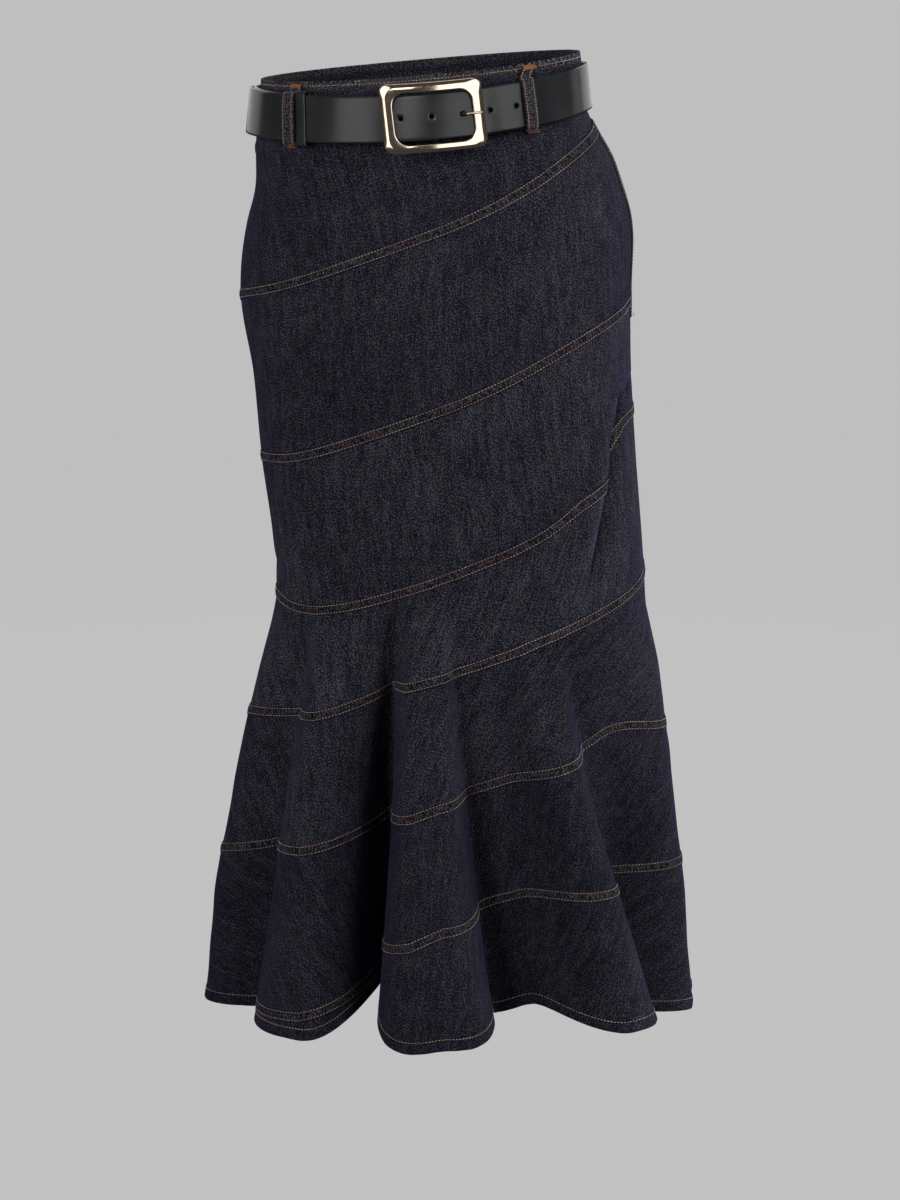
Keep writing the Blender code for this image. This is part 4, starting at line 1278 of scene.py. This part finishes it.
class SKIRT_OT_zip(bpy.types.Operator):
    """Make the side zip: its stitched placket outside, and its tape, teeth and slider inside"""
    bl_idname = "skirt.side_zip"
    bl_label = "Side zip"

    def add_placket(self, settings, made):
        """The cloth over the zip, pressed down along its front edge, with its stitching."""
        rows = 60
        inwards = np.linspace(0, PLACKET_WIDTH + 2, 25)
        height = PLACKET_HEIGHT - 1.25 * np.exp(-inwards / 1.2)
        outer, _ = zip_strip(-PLACKET_WIDTH, 2.0, PLACKET_TOP, ZIP_LENGTH, height, 25, rows)
        down = np.linspace(0, ZIP_LENGTH - PLACKET_TOP, rows)
        add_wall("cloth_zip_placket", outer, PLACKET_THICK, made["raw_denim"], "denim",
                 ("zip_placket",), np.stack(np.meshgrid(inwards, down), axis=-1), {"tone": 0.95})
        runs = []
        for across in (-15.0, -2.5):
            line, normal = zip_line(across, PLACKET_TOP, ZIP_LENGTH, PLACKET_HEIGHT, 220)
            runs.append(topstitch(settings, line, normal, 31, 0.9))
        add_threads("zip_placket_topstitch", runs, made["topstitch_thread"])
        ends, normal = zip_strip(-8.0, -1.0, ZIP_LENGTH - 1.0, ZIP_LENGTH, 2.9, 2, 2)
        add_threads("zip_bartack", [bartack(*ends[0], normal[0, 0], 2.2, 0.32)],
                    made["bartack_thread"])

    def add_tape(self, made):
        """The woven tape behind the cloth, and its two rows of teeth."""
        columns, rows, half = 17, 80, ZIP_TAPE_WIDTH / 2
        outer, _ = zip_strip(-half, half, ZIP_TOP, ZIP_TOP + ZIP_LENGTH, TAPE_HEIGHT, columns,
                             rows)
        weave = np.meshgrid(np.linspace(-half, half, columns), np.linspace(0, ZIP_LENGTH, rows))
        add_wall("zip_tape_woven", outer, ZIP_TAPE_THICK, made["zip_tape"], "zip_tape",
                 ("zip_tape",), np.stack(weave, axis=-1))
        teeth = [zip_teeth(side, TAPE_HEIGHT - ZIP_TAPE_THICK - 0.1) for side in (-1, 1)]
        add_threads("zip_teeth", teeth, made["zip_brass"], "zip_metal")

    def add_slider(self, made):
        """The slider at the top, crowned and narrower below, and its flat waisted pull."""
        brass, face = made["zip_brass"], TAPE_HEIGHT - ZIP_TAPE_THICK
        body, _ = zip_strip(-4.0, 4.0, ZIP_TOP + 4, ZIP_TOP + 15, face - 0.4, 9, 12)
        part = np.linspace(-1, 1, 12)[:, None]
        middle = body[:, 4:5]
        body = middle + (body - middle) * (1 - 0.28 * np.clip(part, 0, 1) ** 2)[..., None]
        crown = 2.6 - 1.2 * np.abs(np.linspace(-1, 1, 9)) ** 3 - 0.6 * np.abs(part) ** 4
        add_wall("zip_slider_body", body, crown, brass, "zip_metal", ("zip_slider",))
        pull, _ = zip_strip(-2.2, 2.2, ZIP_TOP + 10, ZIP_TOP + 31, face - 3.2, 5, 16)
        middle = pull[:, 2:3]
        share = np.linspace(-1, 1, 16)[:, None, None]
        pull = middle + (pull - middle) * (0.55 + 0.45 * np.cos(share * 1.2 + 0.3) ** 2)
        add_wall("zip_pull", pull, 0.9, brass, "zip_metal")

    def execute(self, context):
        made = finishes(context)
        self.add_placket(context.scene.skirt_denim, made)
        self.add_tape(made)
        self.add_slider(made)
        return {"FINISHED"}


# ---------------------------------------------------------------- belt
def belt_ring(angle, across, out):
    """Points of the belt in millimetres: across is up the strap, out is off its inner face."""
    turn = np.radians(angle)
    turn = turn - np.asarray(across) * BELT_LEAN * np.cos(turn) / BELT_HALF_WIDTH
    out = out - BELT_CONE * np.asarray(across) / (BELT_WIDTH / 2)
    x, y = squared_ellipse(turn, BELT_HALF_WIDTH, BELT_HALF_DEPTH, out)
    dip = BELT_DIP * np.clip(np.cos(turn), 0, 1) ** 2
    z = BELT_MIDDLE_Z + math.tan(BELT_TILT) * x - dip + across
    return np.stack([x + BELT_CENTRE_X, y, z], axis=-1)


def belt_degrees(length, angle, out=0.0):
    """Degrees round the belt that a length takes up at an angle and a distance off it."""
    arc = belt_ring(np.array(angle + 0.5), 0.0, out) - belt_ring(np.array(angle - 0.5), 0.0, out)
    return length / np.linalg.norm(arc)


def belt_layer(angle):
    """How far the strap stands off its first layer: it rises before it laps over itself."""
    part = np.clip((BELT_RISE_FROM - angle) / (BELT_RISE_FROM - BELT_RISE_TO), 0, 1)
    return BELT_LAYER * part * part * (3 - 2 * part)


def rounded_outline(part, width, height, corner):
    """Points of a rounded rectangle at parts from 0 to 1 of the way round it: each quarter is
    half a straight, an arc and half a straight."""
    half_w, half_h = width / 2 - corner, height / 2 - corner
    quarter = np.floor(part * 4).astype(int) % 4
    within = part * 4 - np.floor(part * 4)
    turn = math.pi / 2 * (quarter + np.clip((within - 0.3) / 0.4, 0, 1))
    side_x = np.array((1, -1, -1, 1))[quarter] * half_w
    side_y = np.array((1, 1, -1, -1))[quarter] * half_h
    upright = quarter % 2 == 0
    start = np.where(within < 0.3, within / 0.3, 1.0)
    end = np.where(within > 0.7, (1.0 - within) / 0.3, 1.0)
    side_x = side_x * np.where(upright, end, start)
    side_y = side_y * np.where(upright, start, end)
    return side_x + corner * np.cos(turn), side_y + corner * np.sin(turn)


def buckle_point(x, y, out):
    """A point of the buckle: x along the strap, y up, out off the belt, bent with the belt."""
    angle = BUCKLE_ANGLE + belt_degrees(x, BUCKLE_ANGLE, BUCKLE_STAND)
    return belt_ring(angle, y, out)


def rod(route, radius, sides=12):
    """A round rod along a smooth line, with its ends rounded by shrinking rings.  Each ring is
    square to the line, and there is a radius for each point of it."""
    run = run_of(route)
    end = np.minimum(run, run[-1] - run) / radius
    share = np.sqrt(np.clip(1 - (1 - np.clip(end, 0, 1)) ** 2, 0.02, 1))
    ahead = unit(np.gradient(route, axis=0))
    side = unit(np.cross(ahead, (0.0, 0.02, 1.0)))
    up = np.cross(ahead, side)
    spoke = 2 * math.pi * np.arange(sides) / sides
    size = (radius * share)[:, None]
    return route + (np.cos(spoke)[:, None, None] * side + np.sin(spoke)[:, None, None] * up) * size


def rod_line(route, count):
    """A smooth line through a route's knots, with more points near its ends."""
    line = eased_line(np.array(route), 400)
    run = run_of(line)
    part = np.linspace(0, 1, count)
    part = part - 0.9 * np.sin(2 * math.pi * part) / (2 * math.pi)
    return at_run(part * run[-1], run, line)


def strap_wave(angle):
    """A slow unevenness in how far the worn strap stands off."""
    drum = np.stack([angle * 2.5, angle * 0, angle * 0], axis=-1)
    return 0.25 * unevenness(drum, 34, 41)


def strap_section():
    """The strap's section as a ring: how far up each point lies and how far off its inner face.
    The ring starts half way along its upper edge, so that opposite points face each other."""
    high, deep = np.array(STRAP_EDGE).T
    face = np.arange(-18, 19, 2.0)      # two rows to each side of the middle clear a hole
    up = np.concatenate([face[::-1], -high, face, high[::-1]])
    out = np.concatenate([face * 0 + BELT_THICK, deep, face * 0, deep[::-1]])
    shift = -(len(face) * 2 + len(high) + len(high) // 2 + 1)
    return np.roll(up, shift), np.roll(out, shift)


def strap_columns(cell):
    """Angles of the strap's columns, with five of them set round each hole, and for each hole its
    middle column and its angle."""
    length = (BELT_START_ANGLE - BELT_END_ANGLE) * MM_PER_BELT_DEGREE
    angle = np.linspace(BELT_END_ANGLE, BELT_START_ANGLE, int(length / cell))
    holes = []
    for hole in HOLE_ANGLES:
        centre = hole - 360
        step = belt_degrees(2.0, centre, BELT_LAYER + BELT_THICK)
        nearest = int(np.argmin(np.abs(angle - centre)))
        angle[nearest - 2:nearest + 3] = centre + step * np.arange(-2, 3)
        holes.append((nearest, centre))
    return angle, holes


def punch(points, faces, angle, up, middle, hole, level, turned):
    """Cuts a hole in one face of the strap: the cells round it give way to two rims, a wider one
    on the face and one of the hole's radius a little deeper.

    The middle is the ring's point at the hole's height, and turned is -1 on the inner face.
    Gives the points, the faces and the numbers of the inner rim's points."""
    nearest, centre = hole
    columns = len(angle)
    low, high, first, last = middle - 2, middle + 2, nearest - 2, nearest + 2
    square = ([(low, place) for place in range(first, last)]
              + [(ring, last) for ring in range(low, high)]
              + [(high, place) for place in range(last, first, -1)]
              + [(ring, first) for ring in range(high, low, -1)])
    border = np.array([ring * columns + place for ring, place in square])
    rings, places = faces // columns, faces % columns
    inside = (rings >= low) & (rings <= high) & (places >= first) & (places <= last)
    faces = faces[~inside.all(axis=1)]
    degree = belt_degrees(1.0, centre, BELT_LAYER + level)
    side, high_up = (angle[border % columns] - centre) / degree, up[border // columns]
    reach = HOLE_RADIUS / np.hypot(side, high_up)
    after = np.roll(np.arange(len(border)), -1)
    for grow, sink in ((1.35, 0.0), (1.0, 0.25)):
        place = centre + side * reach * grow * degree
        depth = belt_layer(place) + level - sink * turned + strap_wave(place)
        rim = len(points) + np.arange(len(border))
        points = np.concatenate([points, belt_ring(place, high_up * reach * grow, depth)])
        quads = np.stack([border, rim, rim[after], border[after]], axis=-1)
        faces = np.concatenate([faces, quads])
        border = rim
    return points, faces, border


def strap_mesh(cell):
    """Points and faces of the strap: its section carried round from the rounded tip to the
    buckle, with the holes punched through and a wall inside each."""
    angle, holes = strap_columns(cell)
    up, out = strap_section()
    run = np.abs(angle - BELT_END_ANGLE) / belt_degrees(1.0, BELT_END_ANGLE + 360)
    tip = np.sqrt(np.clip(1 - (1 - np.clip(run / 24, 0.004, 1)) ** 2, 0, 1))
    outs = belt_layer(angle) + out[:, None] + strap_wave(angle)
    grid = belt_ring(np.broadcast_to(angle, outs.shape), up[:, None] * tip, outs)
    points, faces = grid.reshape(-1, 3), skin_faces(*grid.shape[:2])
    outer, inner = [int(np.where((up == 0) & (out == face))[0][0]) for face in (BELT_THICK, 0)]
    for hole in holes:
        points, faces, top = punch(points, faces, angle, up, outer, hole, BELT_THICK, 1)
        points, faces, under = punch(points, faces, angle, up, inner, hole, 0.0, -1)
        gaps = np.linalg.norm(points[top][:, None] - points[under], axis=-1)
        under = under[np.argmin(gaps, axis=1)]
        after = np.roll(np.arange(len(top)), -1)
        faces = np.concatenate([faces, np.stack([top, under, under[after], top[after]],
                                                axis=-1)])
    return points, faces


def keeper_rings():
    """Rings of the keeper, a rounded band round both layers of the strap, across its width."""
    low = -0.5 - KEEPER_THICK
    high = BELT_LAYER + BELT_THICK + 0.5 + KEEPER_THICK
    half_up = BELT_WIDTH / 2 + 2.0 + KEEPER_THICK
    part = (np.arange(96) + 0.5) / 96
    rings = []
    for across, depth in KEEPER_SECTION:
        sunk = KEEPER_THICK * depth
        ring_y, ring_out = rounded_outline(part, 2 * (half_up - sunk), high - low - 2 * sunk,
                                           KEEPER_CORNER - sunk)
        place = KEEPER_ANGLE + belt_degrees(KEEPER_WIDTH * across, KEEPER_ANGLE)
        rings.append(belt_ring(place + 0 * part, ring_y, (low + high) / 2 + ring_out))
    return np.array(rings)


class SKIRT_OT_strap(bpy.types.Operator):
    """Make the leather strap with its punched holes, and its keeper"""
    bl_idname = "skirt.strap"
    bl_label = "Strap and keeper"

    def execute(self, context):
        leather = finishes(context)["strap_leather"]
        add_piece("leather_strap", *strap_mesh(context.scene.skirt_belt.cell / MM), leather,
                  "leather", ("belt_strap",))
        add_tube("leather_keeper", keeper_rings(), leather, "leather", ("belt_keeper",),
                 around=True)
        return {"FINISHED"}


def frame_rings():
    """Rings of the buckle's frame, from its window's outline out to its own, with its bevels."""
    part = (np.arange(240) + 0.5) / 240
    outer_x, outer_y = rounded_outline(part, BUCKLE_WIDTH, BUCKLE_HEIGHT, BUCKLE_CORNER)
    inner_x, inner_y = rounded_outline(part, WINDOW_WIDTH, WINDOW_HEIGHT, WINDOW_CORNER)
    inner_x, inner_y = inner_x + WINDOW_SHIFT_X, inner_y + WINDOW_SHIFT_Z
    share, lift = np.array(FRAME_SECTION).T[:, :, None]
    x = inner_x + (outer_x - inner_x) * share
    y = inner_y + (outer_y - inner_y) * share
    stand = BUCKLE_STAND + BUCKLE_UPRIGHT * y - BUCKLE_TURN * x
    return buckle_point(x, y, stand + BUCKLE_THICK * lift)


def bar_rod(x):
    """The rear bar, which leaves the frame's top, runs behind the strap and comes back."""
    top, rest, behind = BUCKLE_HEIGHT / 2 - 4.2, BUCKLE_STAND - 0.3, 2.0
    route = ((top, rest), (top - 0.1, behind + 3), (top - 1, behind + 0.6), (top - 4, behind),
             (0, behind), (4 - top, behind), (1 - top, behind + 0.6),
             (0.1 - top, behind + 3), (-top, rest))
    line = rod_line([buckle_point(np.array(x), y, out) for y, out in route], 60)
    return rod(line, np.full(len(line), BAR_RADIUS))


def prong_rod(x):
    """The prong, from the rear bar under the strap, up through its hole and onto the frame."""
    hole_x = (HOLE_ANGLES[PRONG_HOLE] - BUCKLE_ANGLE) / belt_degrees(1.0, BUCKLE_ANGLE,
                                                                    BUCKLE_STAND)
    face = BUCKLE_STAND + BUCKLE_THICK + PRONG_RADIUS + 0.3
    route = ((x + 3.3, -4.0, 2.0), (x + 8.0, -4.0, 1.3), (hole_x - 9.0, -4.0, 1.0),
             (hole_x - 1.4, -1.0, 1.6), (hole_x - 0.2, 0.0, 3.2), (hole_x + 0.2, 0.0, 7.6),
             (hole_x + 2.5, 0.0, face - 1.2), (hole_x + 6.0, 0.0, face),
             (BUCKLE_WIDTH / 2 - 6, 0.0, face), (BUCKLE_WIDTH / 2 - 2.5, 0.0, face))
    line = rod_line([buckle_point(np.array(along), y, out) for along, y, out in route], 90)
    return rod(line, PRONG_RADIUS * (1 - 0.15 * np.linspace(0, 1, len(line))))


class SKIRT_OT_buckle(bpy.types.Operator):
    """Make the polished buckle: its bevelled frame, its rear bar and its prong"""
    bl_idname = "skirt.buckle"
    bl_label = "Buckle"

    def execute(self, context):
        gold = finishes(context)["polished_gold"]
        bar_x = BAR_INSET - BUCKLE_WIDTH / 2
        add_tube("gold_frame", frame_rings(), gold, "gold", ("buckle_frame",), around=True)
        add_tube("gold_bar", bar_rod(bar_x), gold, "gold", ("buckle_bar",))
        add_tube("gold_prong", prong_rod(bar_x), gold, "gold", ("buckle_prong",))
        return {"FINISHED"}


# ---------------------------------------------------------------- stage
def floor_mesh(height):
    """A round floor that curves up at its rim into a wall, as points and faces."""
    sweep = np.linspace(0, math.pi / 2, 14)[1:]
    flat = np.linspace(0.0, FLOOR_RADIUS, 12)[1:]
    wall_at = FLOOR_RADIUS + SWEEP_RADIUS
    radius = np.concatenate([flat, FLOOR_RADIUS + SWEEP_RADIUS * np.sin(sweep),
                             [wall_at, wall_at]])
    rise = np.concatenate([flat * 0, SWEEP_RADIUS - SWEEP_RADIUS * np.cos(sweep), WALL_LEVELS])
    spoke = np.linspace(0, 2 * math.pi, FLOOR_SIDES + 1)[:-1]
    points = np.stack(np.broadcast_arrays(radius[:, None] * np.cos(spoke),
                                          radius[:, None] * np.sin(spoke),
                                          rise[:, None] + height), axis=-1)
    first = np.arange(len(radius) - 1)[:, None] * FLOOR_SIDES
    along = np.arange(FLOOR_SIDES)
    ahead = (along + 1) % FLOOR_SIDES
    faces = np.stack([first + along, first + FLOOR_SIDES + along, first + FLOOR_SIDES + ahead,
                      first + ahead], axis=-1)
    return points.reshape(-1, 3).tolist(), faces.reshape(-1, 4).tolist() + [along.tolist()]


def add_floor(scene, settings):
    """The floor and backdrop in one.  It only shows: light and reflections come from the lamps
    and the air."""
    make = Finish("plain_backdrop")
    make.finish(base_color=opaque((settings.shade,) * 3), roughness=0.9, specular_ior_level=0.0,
                emission_color=(1.0, 1.0, 1.0, 1.0), emission_strength=FLOOR_GLOW)
    points, faces = floor_mesh(settings.floor)
    mesh = bpy.data.meshes.new("studio_floor")
    mesh.from_pydata(points, [], faces)
    mesh.shade_smooth()
    mesh.materials.append(make.material)
    floor = bpy.data.objects.new("studio_floor", mesh)
    scene.collection.objects.link(floor)
    floor.visible_diffuse = floor.visible_glossy = floor.visible_shadow = False


def add_lamp(scene, row, key):
    """A rectangular lamp of the lamp table, aimed at the middle of the skirt."""
    name, azimuth, rise, away, size, power, lights = row
    turn, lift = math.radians(azimuth), math.radians(rise)
    aim = -away * np.array((math.cos(lift) * math.sin(turn), -math.cos(lift) * math.cos(turn),
                            math.sin(lift)))
    light = bpy.data.lights.new(name, "AREA")
    light.shape = "RECTANGLE"
    light.size, light.size_y = size
    light.energy = key * power
    lamp = bpy.data.objects.new(name, light)
    lamp.location = np.array((0, 0, LAMP_TARGET_Z)) - aim
    lamp.rotation_euler = (math.atan2(math.hypot(aim[0], aim[1]), -aim[2]), 0.0,
                           math.atan2(aim[1], aim[0]) - math.pi / 2)
    lamp.visible_camera = False
    lamp.visible_diffuse, lamp.visible_glossy = lights != "shine", lights != "cloth"
    scene.collection.objects.link(lamp)


def add_camera(scene, settings):
    """The camera, a little above the waist edge and looking down at the skirt's front."""
    data = bpy.data.cameras.new("camera")
    data.sensor_fit = "AUTO"
    data.sensor_width = SENSOR_WIDTH
    data.lens = settings.lens / MM
    camera = bpy.data.objects.new("camera", data)
    camera.location = CAMERA_PLACE
    camera.rotation_euler = (math.radians(90) - CAMERA_DIP, 0.0, 0.0)
    scene.collection.objects.link(camera)
    scene.camera = camera


class SKIRT_OT_stage(bpy.types.Operator):
    """Set the pale floor that curves up into its backdrop, the soft lights and the camera"""
    bl_idname = "skirt.stage"
    bl_label = "Stage"

    def execute(self, context):
        settings, scene = context.scene.skirt_stage, context.scene
        scene.view_settings.view_transform = "Standard"
        add_floor(scene, settings)
        world = bpy.data.worlds.new("studio_air")
        world.use_nodes = True
        air = world.node_tree.nodes["Background"].inputs
        air["Color"].default_value = (1, 1, 1, 1)
        air["Strength"].default_value = AIR_LIGHT
        scene.world = world
        for row in LAMPS:
            add_lamp(scene, row, settings.key)
        add_camera(scene, settings)
        return {"FINISHED"}


class SKIRT_PT_panel(bpy.types.Panel):
    """The skirt's pieces, in the order they are made"""
    bl_idname = "SKIRT_PT_panel"
    bl_label = "Skirt"
    bl_space_type = "VIEW_3D"
    bl_region_type = "UI"
    bl_category = "Skirt"

    def draw(self, context):
        layout = self.layout
        for group in ("skirt_denim", "skirt_belt", "skirt_stage"):
            settings = getattr(context.scene, group)
            box = layout.box()
            for name in settings.__annotations__:
                box.prop(settings, name)
        for piece in PIECES:
            layout.operator(piece.bl_idname)


PIECES = (SKIRT_OT_panels, SKIRT_OT_waistband, SKIRT_OT_seams, SKIRT_OT_hem,
          SKIRT_OT_belt_loops, SKIRT_OT_zip, SKIRT_OT_strap, SKIRT_OT_buckle, SKIRT_OT_stage)
SETTINGS = {"skirt_denim": DenimSettings, "skirt_belt": BeltSettings,
            "skirt_stage": StageSettings}


def register():
    """Adds the settings, the operators and the panel."""
    for name, group in SETTINGS.items():
        bpy.utils.register_class(group)
        setattr(bpy.types.Scene, name, PointerProperty(type=group))
    for entry in PIECES + (SKIRT_PT_panel,):
        bpy.utils.register_class(entry)


def unregister():
    """Takes them away again."""
    for entry in reversed(PIECES + (SKIRT_PT_panel,)):
        bpy.utils.unregister_class(entry)
    for name, group in SETTINGS.items():
        delattr(bpy.types.Scene, name)
        bpy.utils.unregister_class(group)


def main():
    register()
    for piece in PIECES:
        group, name = piece.bl_idname.split(".")
        getattr(getattr(bpy.ops, group), name)()


if __name__ == "__main__":
    main()
